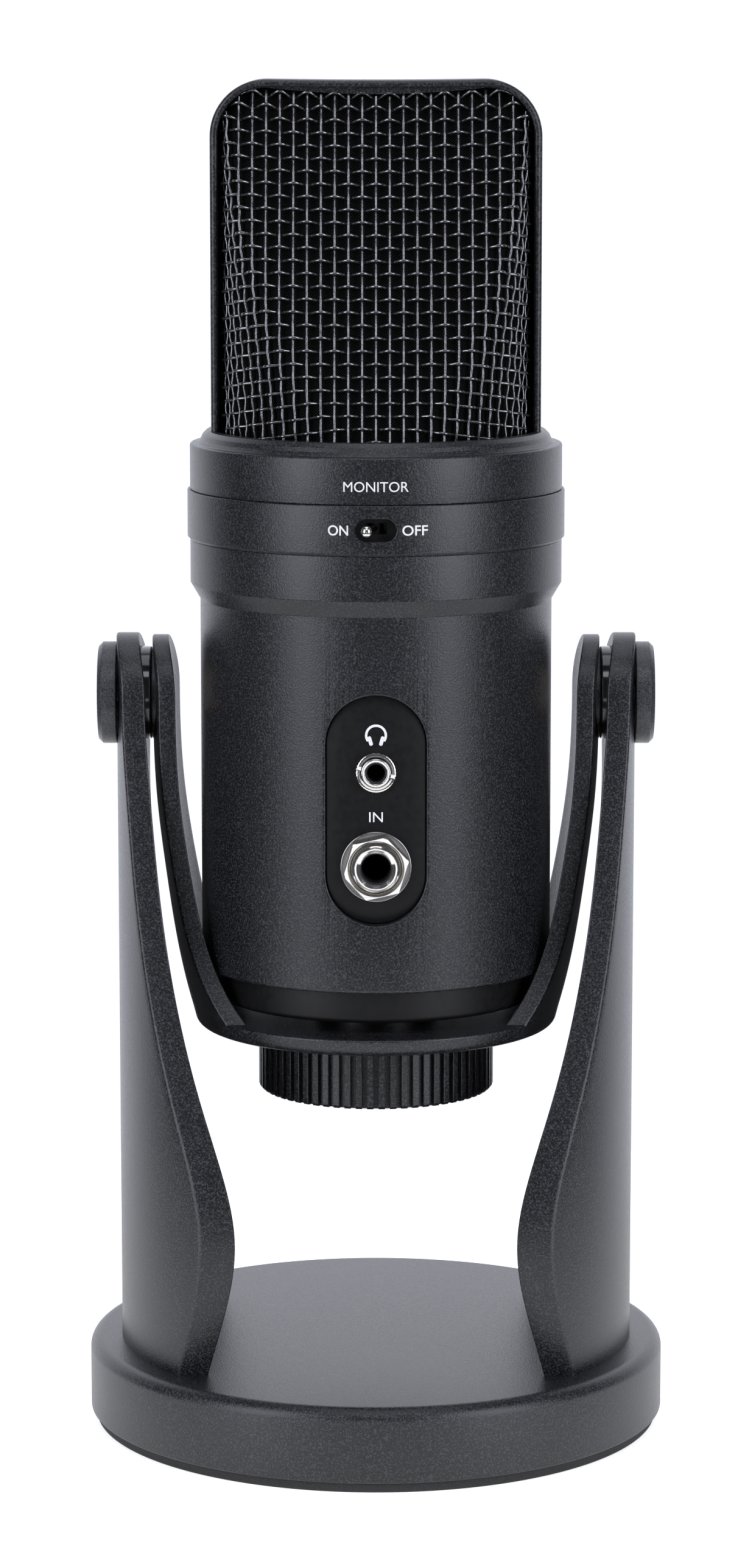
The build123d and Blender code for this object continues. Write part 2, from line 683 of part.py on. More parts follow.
# ---- head --------------------------------------------------------------------
def head_outline(half, top, corner, bow):
    """Front outline of the head: square below, rounded shoulders, bowed top."""
    side_z = top - corner
    inner_x = half - corner
    diagonal = corner * (1 - cos(radians(45)))
    edges = [
        Line((-half, HEAD_LOW), (half, HEAD_LOW)),
        Line((half, HEAD_LOW), (half, side_z)),
        ThreePointArc((half, side_z), (half - diagonal, top - diagonal), (inner_x, top)),
        ThreePointArc((inner_x, top), (0, top - bow), (-inner_x, top)),
        ThreePointArc((-inner_x, top), (-half + diagonal, top - diagonal), (-half, side_z)),
        Line((-half, side_z), (-half, HEAD_LOW)),
    ]
    return Plane.XZ * make_face(edges)


def mesh_outline(grow):
    """Outline that the woven mesh fills inside the hoop."""
    bow = MESH_TOP_SIDE - MESH_TOP_MID
    return head_outline(MESH_R - 0.1 + grow, MESH_TOP_SIDE + grow, HEAD_CORNER - 1.8, bow)


def grille_frame():
    """Hoop over the head; its front and back rims stand proud of the mesh."""
    outer = extrude(head_outline(HEAD_HALF, HEAD_TOP, HEAD_CORNER, 0.2), HEAD_DEPTH, both=True)
    faces = [edge for edge in outer.edges() if abs(abs(edge.center().Y) - HEAD_DEPTH) < 0.01]
    rims = [edge for edge in faces if edge.center().Z > HEAD_LOW + 1]
    outer = fillet(rims, 0.9)
    inner = extrude(mesh_outline(0.1), HEAD_DEPTH + 1, both=True)
    rim_hole = head_outline(HEAD_HALF - HEAD_WALL, HEAD_TOP - HEAD_WALL, HEAD_CORNER - HEAD_WALL, 0.2)
    rim_cut = extrude(rim_hole, HEAD_DEPTH + 1, both=True)
    core_y = HEAD_DEPTH - HEAD_STEP
    rim_cut -= block((-40, 40), (-core_y, core_y), (HEAD_LOW - 5, HEAD_TOP + 5))
    return outer - inner - rim_cut


def wedge(inset):
    """Round tube that two sloping planes thin towards the top."""
    shift = inset * sqrt(1 + MESH_SLOPE**2)
    low, high = HEAD_LOW - 5, HEAD_TOP + 5
    low_y = MESH_FOOT_Y - MESH_SLOPE * (low - MESH_FOOT_Z) - shift
    high_y = MESH_FOOT_Y - MESH_SLOPE * (high - MESH_FOOT_Z) - shift
    outline = Polyline((-low_y, low), (low_y, low), (high_y, high), (-high_y, high), close=True)
    return rod_z(MESH_R - inset, low, high) & extrude(Plane.YZ * make_face(outline), 40, both=True)


def mesh_half(inset, thickness, side):
    """Front (-1) or rear (+1) half of a mesh layer."""
    layer = wedge(inset) - wedge(inset + thickness)
    layer &= extrude(mesh_outline(0), 40, both=True)
    span = (-40, -0.3) if side < 0 else (0.3, 40)
    return layer & block((-40, 40), span, (HEAD_LOW, HEAD_TOP))


def capsule(side):
    """Condenser capsule: disc with a stepped rim and a shallow dished face."""
    face = side * 7.0
    back = side * 0.8
    body = rod_y(CAPSULE_R, *sorted((face, back)), z=CAPSULE_Z)
    recess = sorted((face, face - side * 0.8))
    return body - rod_y(CAPSULE_R - 2.0, *recess, z=CAPSULE_Z)


def capsule_ring():
    """Band that clamps both capsules back to back."""
    ring = rod_y(CAPSULE_R + 2.4, -5.5, 5.5, z=CAPSULE_Z) - rod_y(CAPSULE_R, -6, 6, z=CAPSULE_Z)
    return ring + (rod_z(4.0, CAPSULE_Z - 19.0, CAPSULE_Z - 14.0) - rod_y(CAPSULE_R, -6, 6, z=CAPSULE_Z))


def capsule_mount():
    """Rubber post that isolates the capsules from the body."""
    post = rod_z(9.0, HEAD_LOW, HEAD_LOW + 4.0) + rod_z(6.5, HEAD_LOW + 4.0, CAPSULE_Z - 17.0)
    return post - rod_z(4.0, CAPSULE_Z - 19.0, CAPSULE_Z)


def build():
    """Every piece by its name."""
    pieces = {
        "base_casting": base_casting(),
        "base_weight": base_weight(),
        "base_pad": base_pad(),
        "arm_screws": Compound([cap_screw(x, y, ARM_SCREW_TOP) for x, y in arm_screw_spots()]),
        "weight_screws": Compound([cap_screw(x, y, WEIGHT_TOP + 4.0) for x, y in WEIGHT_SCREWS]),
        "yoke": yoke(),
        "lock_ring": lock_ring(),
        "mount_boss": mount_boss(),
        "boss_screws": Compound([boss_screw(x, y) for x, y in BOSS_SCREWS]),
        "bottom_cap": bottom_cap(),
        "chassis_screws": Compound([chassis_screw(x, y) for x, y in CHASSIS_SCREWS]),
        "body_shell": body_shell(),
        "control_ring": control_ring(),
        "head_collar": head_collar(),
        "jack_panel": jack_panel(),
        "instrument_jack": instrument_jack(),
        "instrument_washer": instrument_washer(),
        "instrument_nut": instrument_nut(),
        "headphone_jack": headphone_jack(),
        "headphone_nut": headphone_nut(),
        "jack_board": jack_board(),
        "control_panel": control_panel(),
        "potentiometers": Compound([potentiometer(height) for height in POT_HEIGHTS.values()]),
        "control_board": control_board(),
        "monitor_switch_lever": monitor_switch_lever(),
        "monitor_switch_body": monitor_switch_body(),
        "mute_button": mute_button(),
        "mute_switch_body": mute_switch_body(),
        "status_light": status_light(),
        "pattern_slider": pattern_slider(),
        "pattern_switch_body": pattern_switch_body(),
        "chassis": chassis(),
        "main_board": main_board(),
        "usb_socket": usb_socket(),
        "usb_board": usb_board(),
        "head_floor": head_floor(),
        "grille_frame": grille_frame(),
        "capsule_ring": capsule_ring(),
        "capsule_mount": capsule_mount(),
    }
    for side, name in ((-1, "front"), (1, "rear")):
        pieces["grille_mesh_" + name] = mesh_half(0, MESH_T, side)
        pieces["grille_liner_" + name] = mesh_half(MESH_T + LINER_GAP, LINER_T, side)
        pieces["capsule_" + name] = capsule(side)
    for name, height in POT_HEIGHTS.items():
        pieces[name + "_knob"] = level_knob(height)
    paired = {
        "stand_arm": stand_arm,
        "pivot_knob": pivot_knob,
        "pivot_bolt": pivot_bolt,
        "pivot_washer": pivot_washer,
        "pivot_insert": pivot_insert,
    }
    for name, make in paired.items():
        shape = make()
        pieces[name + "_right"] = shape
        pieces[name + "_left"] = mirrored(shape)
    return pieces


os.makedirs("parts", exist_ok=True)
for name, shape in build().items():
    export_step(shape, f"parts/{name}.step")
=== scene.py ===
import json
import math

import bmesh
import bpy
import numpy as np
from mathutils import Matrix, Vector

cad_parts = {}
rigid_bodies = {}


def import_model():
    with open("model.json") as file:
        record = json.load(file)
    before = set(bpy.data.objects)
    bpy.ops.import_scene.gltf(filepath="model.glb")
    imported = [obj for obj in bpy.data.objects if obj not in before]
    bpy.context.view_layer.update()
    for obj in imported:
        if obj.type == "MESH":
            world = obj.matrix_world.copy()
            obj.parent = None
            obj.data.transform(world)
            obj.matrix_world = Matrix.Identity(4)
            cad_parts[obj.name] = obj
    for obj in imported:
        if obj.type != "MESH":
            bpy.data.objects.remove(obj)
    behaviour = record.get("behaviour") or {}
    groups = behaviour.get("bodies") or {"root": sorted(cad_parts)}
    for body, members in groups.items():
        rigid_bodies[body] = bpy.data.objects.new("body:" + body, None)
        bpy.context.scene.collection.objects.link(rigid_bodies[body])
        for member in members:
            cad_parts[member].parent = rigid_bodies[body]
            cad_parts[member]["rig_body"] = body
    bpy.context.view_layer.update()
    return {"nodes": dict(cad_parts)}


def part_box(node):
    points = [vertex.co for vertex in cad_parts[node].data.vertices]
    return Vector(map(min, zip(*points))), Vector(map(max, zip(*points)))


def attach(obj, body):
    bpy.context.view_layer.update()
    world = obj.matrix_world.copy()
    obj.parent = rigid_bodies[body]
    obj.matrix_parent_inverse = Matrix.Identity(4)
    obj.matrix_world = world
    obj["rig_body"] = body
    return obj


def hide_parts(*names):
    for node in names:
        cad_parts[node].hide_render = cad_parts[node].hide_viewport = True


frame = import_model()

# Shapes below are in millimetres and are turned into metres when their mesh is made.
MM = 0.001


def low(node):
    """Lowest corner of a CAD node in millimetres."""
    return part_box(node)[0] / MM


def high(node):
    """Highest corner of a CAD node in millimetres."""
    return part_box(node)[1] / MM


# ---- sizes taken from the frame ----------------------------------------------
BASE_R, _, BASE_TOP = high("base_casting")
PAD_R, _, PAD_TOP = high("base_pad")
ARM_RO = high("stand_arm_right").x
ARM_RI, WASHER_R, _ = high("pivot_washer_right")
WASHER_IN = low("pivot_washer_right").x
KNOB_IN = low("pivot_knob_right").x
KNOB_OUT, KNOB_R, _ = high("pivot_knob_right")
PIVOT_Z = (high("pivot_bolt_right").z + low("pivot_bolt_right").z) / 2
YOKE_R = high("yoke").x
FLOOR_LOW = low("yoke").z
INSERT_R = high("pivot_insert_right").y
RING_R, _, RING_TOP = high("lock_ring")
RING_LOW = low("lock_ring").z
CAP_R, _, CAP_TOP = high("bottom_cap")
CAP_LOW = low("bottom_cap").z
BODY_LOW = low("body_shell").z
BODY_TOP = high("body_shell").z
MID_RING_R = high("control_ring").x
COLLAR_R, _, LIP_TOP = high("head_collar")
COLLAR_LOW = low("head_collar").z
HEAD_HALF, HEAD_DEPTH, HEAD_TOP = high("grille_frame")
HEAD_LOW = low("grille_frame").z
PANEL_FACE = high("control_panel").y
JACK_FACE = -low("instrument_jack").y
SMALL_JACK_FACE = -low("headphone_jack").y
LIGHT_Z = (high("status_light").z + low("status_light").z) / 2

# ---- sizes inside the nodes, as in the CAD source ------------------------------
ARM_LEVELS = (BASE_TOP, 47.0, 74.0, 113.0, 135.0, PIVOT_Z)
ARM_FRONT = (35.0, 39.8, 33.6, 21.6, 16.2, 12.4)
ARM_REAR = (34.5, 33.4, 25.2, 15.4, 12.0, 12.4)
ARM_CROWN_R = 12.4
YOKE_OUTLINE = [(22.5, 87.5), (16.2, 102.0), (13.4, 122.0), (12.0, PIVOT_Z)]
YOKE_CROWN_R = 12.0
YOKE_BOWL = [(38.0, 87.5), (41.2, 101.0), (43.5, 116.0), (45.35, 132.0), (YOKE_R, PIVOT_Z)]
YOKE_WALL = 3.4
YOKE_FLOOR_TOP = 87.5
YOKE_FLOOR_R = 38.0
YOKE_FLOOR_LOW_R = 37.1
BOSS_BORE_R = 11.05
RING_RIBS = 64
RING_GROOVE_W = 1.05
RING_GROOVE_D = 1.2
BODY_R = 36.1
BODY_WALL = 2.5
BEVEL_LOW = 172.8
BEVEL_TOP = 176.2
COLLAR_WALL = 2.9
COLLAR_TOP = 204.6
PANEL_HALF = 10.1
PANEL_LOW = 110.6
PANEL_TOP = 157.2
INSTRUMENT_Z = 122.4
HEADPHONE_Z = 141.6
SWITCH_Z = 190.4
PATTERN_Z = 180.8
MUTE_R = 3.4
HEAD_CORNER = 11.5
HEAD_WALL = 1.4
HEAD_STEP = 1.1
MESH_R = 32.0
MESH_FOOT_Y = 31.5
MESH_FOOT_Z = 209.0
MESH_SLOPE = 0.371
MESH_HALF = 31.9
MESH_TOP_SIDE = 276.4
MESH_BOW = 1.3
MESH_CORNER = 9.7

# ---- weave of the grille: upright wires are the warp, cross wires the weft ------
WIRE_R = 0.29
WIRE_SIDES = 8
WIRE_INSET = 1.0
WARP_PITCH = 2.76
WARP_CRIMP = 0.15
WARP_REACH = 15
WEFT_PITCH = 2.507
WEFT_FIRST = 207.11
WEFT_ROWS = 28
WEFT_CRIMP = 0.75
CLOTH_THREAD = 0.54

# ---- studio and camera, in metres and degrees ------------------------------------
ROOM_LEVEL = 0.07
WALL_LEVEL = 1.6
COOL_WHITE = (0.96, 0.98, 1.08)
FLOOR_REACH = 0.24
CAMERA_AT = (0, -0.9626, 0.2877)
CAMERA_PITCH = 80.91
CAMERA_LENS = 108.05


# ---- mesh helpers ------------------------------------------------------------
def linked(name, data):
    """Object of a mesh, curve, light or camera, put in the scene."""
    made = bpy.data.objects.new(name, data)
    bpy.context.scene.collection.objects.link(made)
    return made


def piece(name, points, faces, crease=30.0):
    """Object from points in millimetres, with doubles merged and normals outward."""
    mesh = bpy.data.meshes.new(name)
    mesh.from_pydata((np.asarray(points, float) * MM).tolist(), [], faces)
    work = bmesh.new()
    work.from_mesh(mesh)
    bmesh.ops.remove_doubles(work, verts=work.verts, dist=0.002 * MM)
    bmesh.ops.recalc_face_normals(work, faces=work.faces)
    work.to_mesh(mesh)
    work.free()
    shade(mesh, crease)
    return linked(name, mesh)


def shade(mesh, crease=30.0):
    """Smooth shading that stays sharp at edges over the crease angle."""
    mesh.shade_smooth()
    mesh.set_sharp_from_angle(angle=math.radians(crease))


def grid(rows, columns, wrap_rows=False, wrap_columns=False):
    """Quads of a grid of points stored row by row."""
    faces = []
    for i in range(rows if wrap_rows else rows - 1):
        for j in range(columns if wrap_columns else columns - 1):
            here, below = i * columns, (i + 1) % rows * columns
            after = (j + 1) % columns
            faces.append((here + j, here + after, below + after, below + j))
    return faces


def capped(rows, columns):
    """Faces round a closed bar, with an end cap on its first and last row."""
    ends = [tuple(range(columns)), tuple(range((rows - 1) * columns, rows * columns))]
    return grid(rows, columns, wrap_columns=True) + ends


def joined(name, parts):
    """One object from several."""
    depsgraph = bpy.context.evaluated_depsgraph_get()
    work = bmesh.new()
    for part in parts:
        mesh = bpy.data.meshes.new_from_object(part.evaluated_get(depsgraph))
        mesh.transform(part.matrix_world)
        work.from_mesh(mesh)
        bpy.data.objects.remove(part)
    mesh = bpy.data.meshes.new(name)
    work.to_mesh(mesh)
    work.free()
    shade(mesh)
    return linked(name, mesh)


def settle(made):
    """Makes a piece's modifiers part of its mesh."""
    depsgraph = bpy.context.evaluated_depsgraph_get()
    mesh = bpy.data.meshes.new_from_object(made.evaluated_get(depsgraph))
    made.modifiers.clear()
    made.data = mesh


def cut(target, *cutters):
    """Takes the cutters out of a piece."""
    for cutter in cutters:
        difference = target.modifiers.new("cut", "BOOLEAN")
        difference.operation = "DIFFERENCE"
        difference.solver = "EXACT"
        difference.object = cutter
    settle(target)
    shade(target.data)
    for cutter in cutters:
        bpy.data.objects.remove(cutter)
    return target


def rounded(corners, steps=6):
    """Closed outline from corners (a, b) or (a, b, radius), rounded where a radius is given."""
    outline = []
    for i, corner in enumerate(corners):
        here = np.array(corner[:2], float)
        if len(corner) == 2:
            outline.append(here)
            continue
        back = np.array(corners[i - 1][:2]) - here
        ahead = np.array(corners[(i + 1) % len(corners)][:2]) - here
        back /= np.linalg.norm(back)
        ahead /= np.linalg.norm(ahead)
        half = math.acos(float(np.clip(back @ ahead, -1, 1))) / 2
        start = here + back * corner[2] / math.tan(half)
        end = here + ahead * corner[2] / math.tan(half)
        middle = back + ahead
        centre = here + middle / np.linalg.norm(middle) * corner[2] / math.sin(half)
        sweep = math.pi - 2 * half
        for t in np.linspace(0, 1, steps + 1):
            weights = math.sin((1 - t) * sweep), math.sin(t * sweep)
            arm = weights[0] * (start - centre) + weights[1] * (end - centre)
            outline.append(centre + arm / math.sin(sweep))
    return np.array(outline)


def turned(name, corners, axis="z", at=(0.0, 0.0), steps=192, round_steps=6):
    """Turned piece from a closed outline of (radius, place along the axis)."""
    outline = rounded(corners, round_steps)
    turn = np.linspace(0, 2 * math.pi, steps, endpoint=False)
    radius, place = outline[:, 0][:, None], outline[:, 1][:, None]
    across, up = radius * np.cos(turn), radius * np.sin(turn)
    along = place + 0 * turn
    if axis == "z":
        points = np.stack((across + at[0], up + at[1], along), -1)
    elif axis == "x":
        points = np.stack((along, across + at[0], up + at[1]), -1)
    else:
        points = np.stack((across + at[0], along, up + at[1]), -1)
    faces = grid(len(outline), steps, wrap_rows=True, wrap_columns=True)
    return piece(name, points.reshape(-1, 3), faces)


def toothed(name, rim, turn, levels, axis, height=0.0):
    """Turned piece with a toothed rim: levels are (largest radius, place along the axis)."""
    rings = []
    for limit, along in levels:
        reach = np.minimum(rim, limit)
        across, up, along = reach * np.cos(turn), reach * np.sin(turn), along + 0 * turn
        rings.append(np.stack((across, up, along) if axis == "z" else (across, along, up + height), -1))
    faces = grid(len(levels), len(turn), wrap_rows=True, wrap_columns=True)
    return piece(name, np.concatenate(rings), faces, 35)


def rod(radius, start, end, axis="z", at=(0.0, 0.0), steps=192):
    """Plain round cutter."""
    outline = [(0, start), (radius, start), (radius, end), (0, end)]
    return turned("cutter", outline, axis, at, steps)


def rotation(degrees):
    """Matrix that turns rows of points in their plane."""
    turn = math.radians(degrees)
    return np.array([(math.cos(turn), math.sin(turn)), (-math.sin(turn), math.cos(turn))])


def block(half_width, half_height, shift=0.0, lean=0.0):
    """Rectangular outline in X and Z, with no growth."""
    corners = np.array([(-1, -1), (1, -1), (1, 1), (-1, 1)]) * (half_width, half_height)
    return (corners + (shift, 0)) @ rotation(lean), np.zeros((4, 2))


def obround(width, height):
    """Points and outward normals of a round-ended slot outline in X and Z."""
    radius = min(width, height) / 2
    shift = np.array((max(width - height, 0), max(height - width, 0))) / 2
    points, normals = [], []
    for start, way in ((-90, 1), (90, -1)) if width >= height else ((0, 1), (180, -1)):
        for angle in np.linspace(start, start + 180, 25):
            normal = np.array((math.cos(math.radians(angle)), math.sin(math.radians(angle))))
            points.append(radius * normal + way * shift)
            normals.append(normal)
    return np.array(points), np.array(normals)


def flat_polygon(sides, across_flats, turn):
    """Points and outward corner directions of a regular polygon in X and Z."""
    angles = np.radians(turn + np.arange(sides) * 360 / sides)
    normals = np.stack((np.cos(angles), np.sin(angles)), -1) / math.cos(math.pi / sides)
    return normals * across_flats / 2, normals


def bar_y(name, outline, middle, rings):
    """Closed bar along Y: rings are (outline growth, y), y a number or a function of x."""
    base, normals = outline
    points = []
    for grow, depth in rings:
        ring = base + grow * normals
        y = depth(ring[:, 0]) if callable(depth) else np.full(len(ring), depth)
        points.append(np.stack((ring[:, 0] + middle[0], y, ring[:, 1] + middle[1]), -1))
    return piece(name, np.concatenate(points), capped(len(rings), len(base)))


def wall_cutter(outline, middle_z, radius, side, edge, inner):
    """Cutter for a hole through a round wall, flared so that the hole's rim is rounded."""
    def on_wall(depth):
        return lambda x: side * np.sqrt((radius - depth) ** 2 - x**2)

    rings = [(edge * 1.05, side * (radius + 3)), (edge * 1.05, on_wall(-0.02))]
    for t in np.linspace(0, math.pi / 2, 5):
        rings.append((edge * (1 - math.sin(t)), on_wall(edge * (1 - math.cos(t)))))
    rings.append((0.0, side * inner))
    return bar_y("cutter", outline, (0.0, middle_z), rings)


def spline(points, start, end, steps):
    """Smooth curve through points with given end directions."""
    points = np.array(points, float)
    chord = np.linalg.norm(np.diff(points, axis=0), axis=1)
    count = len(points)
    matrix, right = np.zeros((count, count)), np.zeros((count, 2))
    matrix[0, 0] = matrix[-1, -1] = 1
    right[0] = np.array(start) / np.linalg.norm(start)
    right[-1] = np.array(end) / np.linalg.norm(end)
    slopes = np.diff(points, axis=0) / chord[:, None]
    for i in range(1, count - 1):
        matrix[i, i - 1 : i + 2] = chord[i], 2 * (chord[i - 1] + chord[i]), chord[i - 1]
        right[i] = 3 * (chord[i] * slopes[i - 1] + chord[i - 1] * slopes[i])
    tangents = np.linalg.solve(matrix, right)
    curve = []
    for i, length in enumerate(chord):
        for t in np.arange(steps) / steps:
            curve.append(
                (2 * t**3 - 3 * t**2 + 1) * points[i]
                + (t**3 - 2 * t**2 + t) * length * tangents[i]
                + (3 * t**2 - 2 * t**3) * points[i + 1]
                + (t**3 - t**2) * length * tangents[i + 1]
            )
    return np.array(curve + [points[-1]])


def tube_slice(name, front_edge, rear_edge, radius_at, wall, side, edge):
    """Upright slice of a tube wall with rounded edges.

    Each edge holds (distance from the middle, height) from the foot to the crown's top.
    """
    columns = 36
    turn = np.linspace(0, math.pi / 2, 5)
    insets = np.concatenate((edge * (1 - np.sin(turn)), edge * (1 - np.cos(turn))))
    depths = np.concatenate((edge * (1 - np.cos(turn)), wall - edge * (1 - np.sin(turn))))

    def inward(outline):
        """Points of the rounded edge at each level, moved in from the outline."""
        way = np.gradient(outline, axis=0)
        way /= np.linalg.norm(way, axis=1)[:, None]
        away = np.stack((way[:, 1], -way[:, 0]), -1)
        away[0] = 1, 0
        away[-1] = 0, 1
        return outline[:, None] - insets[:, None] * away[:, None]

    rows = []
    for front, rear in zip(inward(front_edge), inward(rear_edge)):
        share = np.linspace(0, 1, columns + 1)[:, None]
        skins = []
        for k in (0, -1):
            near = np.array((-front[k, 0], front[k, 1]))
            skins.append(rear[k] + share * (near - rear[k]))
        outer = [(*spot, depths[0]) for spot in skins[0]]
        inner = [(*spot, depths[-1]) for spot in skins[1][::-1]]
        near_side = [(-front[k, 0], front[k, 1], depths[k]) for k in range(1, len(insets) - 1)]
        far_side = [(*rear[k], depths[k]) for k in range(len(insets) - 2, 0, -1)]
        ring = np.array(outer + near_side + inner + far_side)
        radius = radius_at(ring[:, 1]) - ring[:, 2]
        x = side * np.sqrt(np.maximum(radius**2 - ring[:, 0] ** 2, 0))
        rows.append(np.stack((x, ring[:, 0], ring[:, 1]), -1))
    count = len(rows[0])
    faces = grid(len(rows), count, wrap_columns=True)
    faces.append(tuple(range(count)))
    top = (len(rows) - 1) * count
    inner_start = top + columns + len(insets) - 1
    for k in range(len(insets) - 2):
        near_low = top + columns + k
        far_low = top + (count - k) % count
        far_high = top + count - k - 1
        faces.append((near_low, near_low + 1, far_high, far_low))
    inner_end = inner_start + columns
    faces.append((inner_start - 1, inner_start, inner_end, inner_end + 1))
    return piece(name, np.concatenate(rows), faces)


# ---- materials ---------------------------------------------------------------
class Surface:
    """Principled material with the node patterns that the materials share."""

    def __init__(self, name, roughness, metallic=0.0, coordinates="Object"):
        self.material = bpy.data.materials.new(name)
        self.material.use_nodes = True
        self.nodes = self.material.node_tree.nodes
        self.links = self.material.node_tree.links
        self.shader = self.nodes["Principled BSDF"]
        self.shader.inputs["Roughness"].default_value = roughness
        self.shader.inputs["Metallic"].default_value = metallic
        self.place = self.nodes.new("ShaderNodeTexCoord").outputs[coordinates]

    def noise(self, size, detail=2.0, stretch=(1.0, 1.0, 1.0)):
        """Noise whose lumps are about size millimetres."""
        mapping = self.nodes.new("ShaderNodeMapping")
        mapping.inputs["Scale"].default_value = stretch
        self.links.new(self.place, mapping.inputs["Vector"])
        noise = self.nodes.new("ShaderNodeTexNoise")
        noise.inputs["Scale"].default_value = 1 / (size * MM)
        noise.inputs["Detail"].default_value = detail
        self.links.new(mapping.outputs["Vector"], noise.inputs["Vector"])
        return noise.outputs["Fac"]

    def math(self, operation, first, second=0.0):
        """Result of a math node on numbers or sockets."""
        node = self.nodes.new("ShaderNodeMath")
        node.operation = operation
        for socket, value in zip(node.inputs, (first, second)):
            if isinstance(value, (int, float)):
                socket.default_value = value
            else:
                self.links.new(value, socket)
        return node.outputs[0]

    def axis(self, index):
        """One coordinate."""
        node = self.nodes.new("ShaderNodeSeparateXYZ")
        self.links.new(self.place, node.inputs[0])
        return node.outputs[index]

    def colours(self, factor, *stops):
        """Base colour from a ramp of (place, colour)."""
        ramp = self.nodes.new("ShaderNodeValToRGB")
        elements = ramp.color_ramp.elements
        while len(elements) < len(stops):
            elements.new(0.5)
        for element, (place, colour) in zip(elements, stops):
            element.position = place
            element.color = (*colour, 1.0)
        self.links.new(factor, ramp.inputs["Fac"])
        self.links.new(ramp.outputs["Color"], self.shader.inputs["Base Color"])

    def rough(self, factor, smooth, coarse):
        """Roughness from smooth to coarse over a noise's middle range."""
        node = self.nodes.new("ShaderNodeMapRange")
        node.inputs["From Min"].default_value = 0.3
        node.inputs["From Max"].default_value = 0.7
        node.inputs["To Min"].default_value = smooth
        node.inputs["To Max"].default_value = coarse
        self.links.new(factor, node.inputs["Value"])
        self.links.new(node.outputs["Result"], self.shader.inputs["Roughness"])

    def bump(self, height, depth):
        """Relief of depth millimetres."""
        node = self.nodes.new("ShaderNodeBump")
        node.inputs["Distance"].default_value = depth * MM
        node.inputs["Strength"].default_value = 1.0
        self.links.new(height, node.inputs["Height"])
        self.links.new(node.outputs["Normal"], self.shader.inputs["Normal"])


def grey(value):
    """Neutral colour."""
    return value, value, value


def graphite_paint():
    """Fine textured satin powder coat."""
    paint = Surface("graphite_paint", 0.4)
    grain = paint.noise(0.34, 2.0)
    paint.colours(grain, (0.4, (0.003, 0.003, 0.0035)), (0.52, (0.007, 0.0072, 0.0085)),
                  (0.64, (0.034, 0.035, 0.04)))
    paint.rough(grain, 0.32, 0.46)
    paint.bump(grain, 0.06)
    return paint.material


def knob_paint():
    """Finer, slightly glossier coat on the clamp knobs."""
    paint = Surface("knob_paint", 0.36)
    grain = paint.noise(0.3, 2.0)
    paint.colours(grain, (0.4, (0.012, 0.012, 0.014)), (0.62, (0.05, 0.05, 0.055)))
    paint.rough(paint.noise(0.4), 0.34, 0.48)
    paint.bump(grain, 0.03)
    return paint.material


def smooth_plastic(name, value, smooth, coarse, grain=0.6, relief=0.004, shine=0.5):
    """Moulded plastic with a faint grain and slightly uneven gloss."""
    plastic = Surface(name, smooth)
    plastic.shader.inputs["Specular IOR Level"].default_value = shine
    field = plastic.noise(grain, 3.0)
    plastic.colours(field, (0.3, grey(value * 0.85)), (0.7, grey(value * 1.2)))
    plastic.rough(plastic.noise(grain * 5), smooth, coarse)
    plastic.bump(field, relief)
    return plastic.material


def foam_rubber():
    """Closed-cell foam."""
    foam = Surface("foam_rubber", 0.85)
    cells = foam.noise(0.3, 3.0)
    foam.colours(cells, (0.35, grey(0.008)), (0.65, grey(0.03)))
    foam.rough(cells, 0.75, 0.95)
    foam.bump(cells, 0.08)
    return foam.material


def metal(name, colour, smooth, coarse, grain=0.25):
    """Plated or machined metal with fine marks."""
    plate = Surface(name, smooth, metallic=1.0)
    marks = plate.noise(grain, 4.0)
    dark = tuple(part * 0.94 for part in colour)
    plate.colours(marks, (0.3, dark), (0.7, colour))
    plate.rough(marks, smooth, coarse)
    plate.bump(marks, 0.002)
    return plate.material


def grille_wire():
    """Blackened steel wire under a thin gloss lacquer."""
    wire = Surface("grille_wire", 0.25, metallic=0.9)
    field = wire.noise(0.4, 3.0)
    wire.colours(field, (0.3, (0.09, 0.09, 0.095)), (0.7, (0.26, 0.26, 0.27)))
    wire.rough(field, 0.16, 0.28)
    wire.bump(field, 0.012)
    return wire.material


def grille_cloth():
    """Fine black woven cloth with painted highlight on its thread crowns; its UV counts threads."""
    cloth = Surface("grille_cloth", 0.8, coordinates="UV")
    turn = 2 * math.pi
    warp = cloth.math("SINE", cloth.math("MULTIPLY", cloth.axis(0), turn))
    weft = cloth.math("SINE", cloth.math("MULTIPLY", cloth.axis(1), turn))
    over = cloth.math("MULTIPLY", warp, weft)
    height = cloth.math("MULTIPLY_ADD", over, 0.5)
    height.node.inputs[2].default_value = 0.5
    cloth.shader.inputs["Specular IOR Level"].default_value = 0.05
    # Base colour follows the weave's height: painted highlight on the thread crowns and painted shade in
    # the dips between threads.
    cloth.colours(height, (0.5, grey(0.0005)), (0.95, grey(0.018)))
    cloth.rough(height, 0.95, 0.7)
    cloth.bump(height, 0.12)
    return cloth.material


def circuit_board():
    """Green solder mask with faint tracks."""
    board = Surface("circuit_board", 0.4)
    tracks = board.noise(2.5, 1.0, (1.0, 1.0, 0.2))
    board.colours(tracks, (0.45, (0.008, 0.05, 0.02)), (0.55, (0.02, 0.11, 0.05)))
    board.bump(tracks, 0.02)
    return board.material


def light_guide():
    """Milky translucent plastic."""
    guide = Surface("light_guide", 0.25)
    guide.shader.inputs["Transmission Weight"].default_value = 0.4
    guide.shader.inputs["Subsurface Weight"].default_value = 0.3
    haze = guide.noise(0.8)
    guide.colours(haze, (0.3, (0.7, 0.72, 0.74)), (0.7, (0.85, 0.86, 0.88)))
    return guide.material


def legend_ink():
    """White silk-screen ink."""
    ink = Surface("legend_ink", 0.55)
    field = ink.noise(0.2, 2.0)
    ink.colours(field, (0.3, grey(0.72)), (0.7, grey(0.86)))
    ink.bump(field, 0.004)
    return ink.material


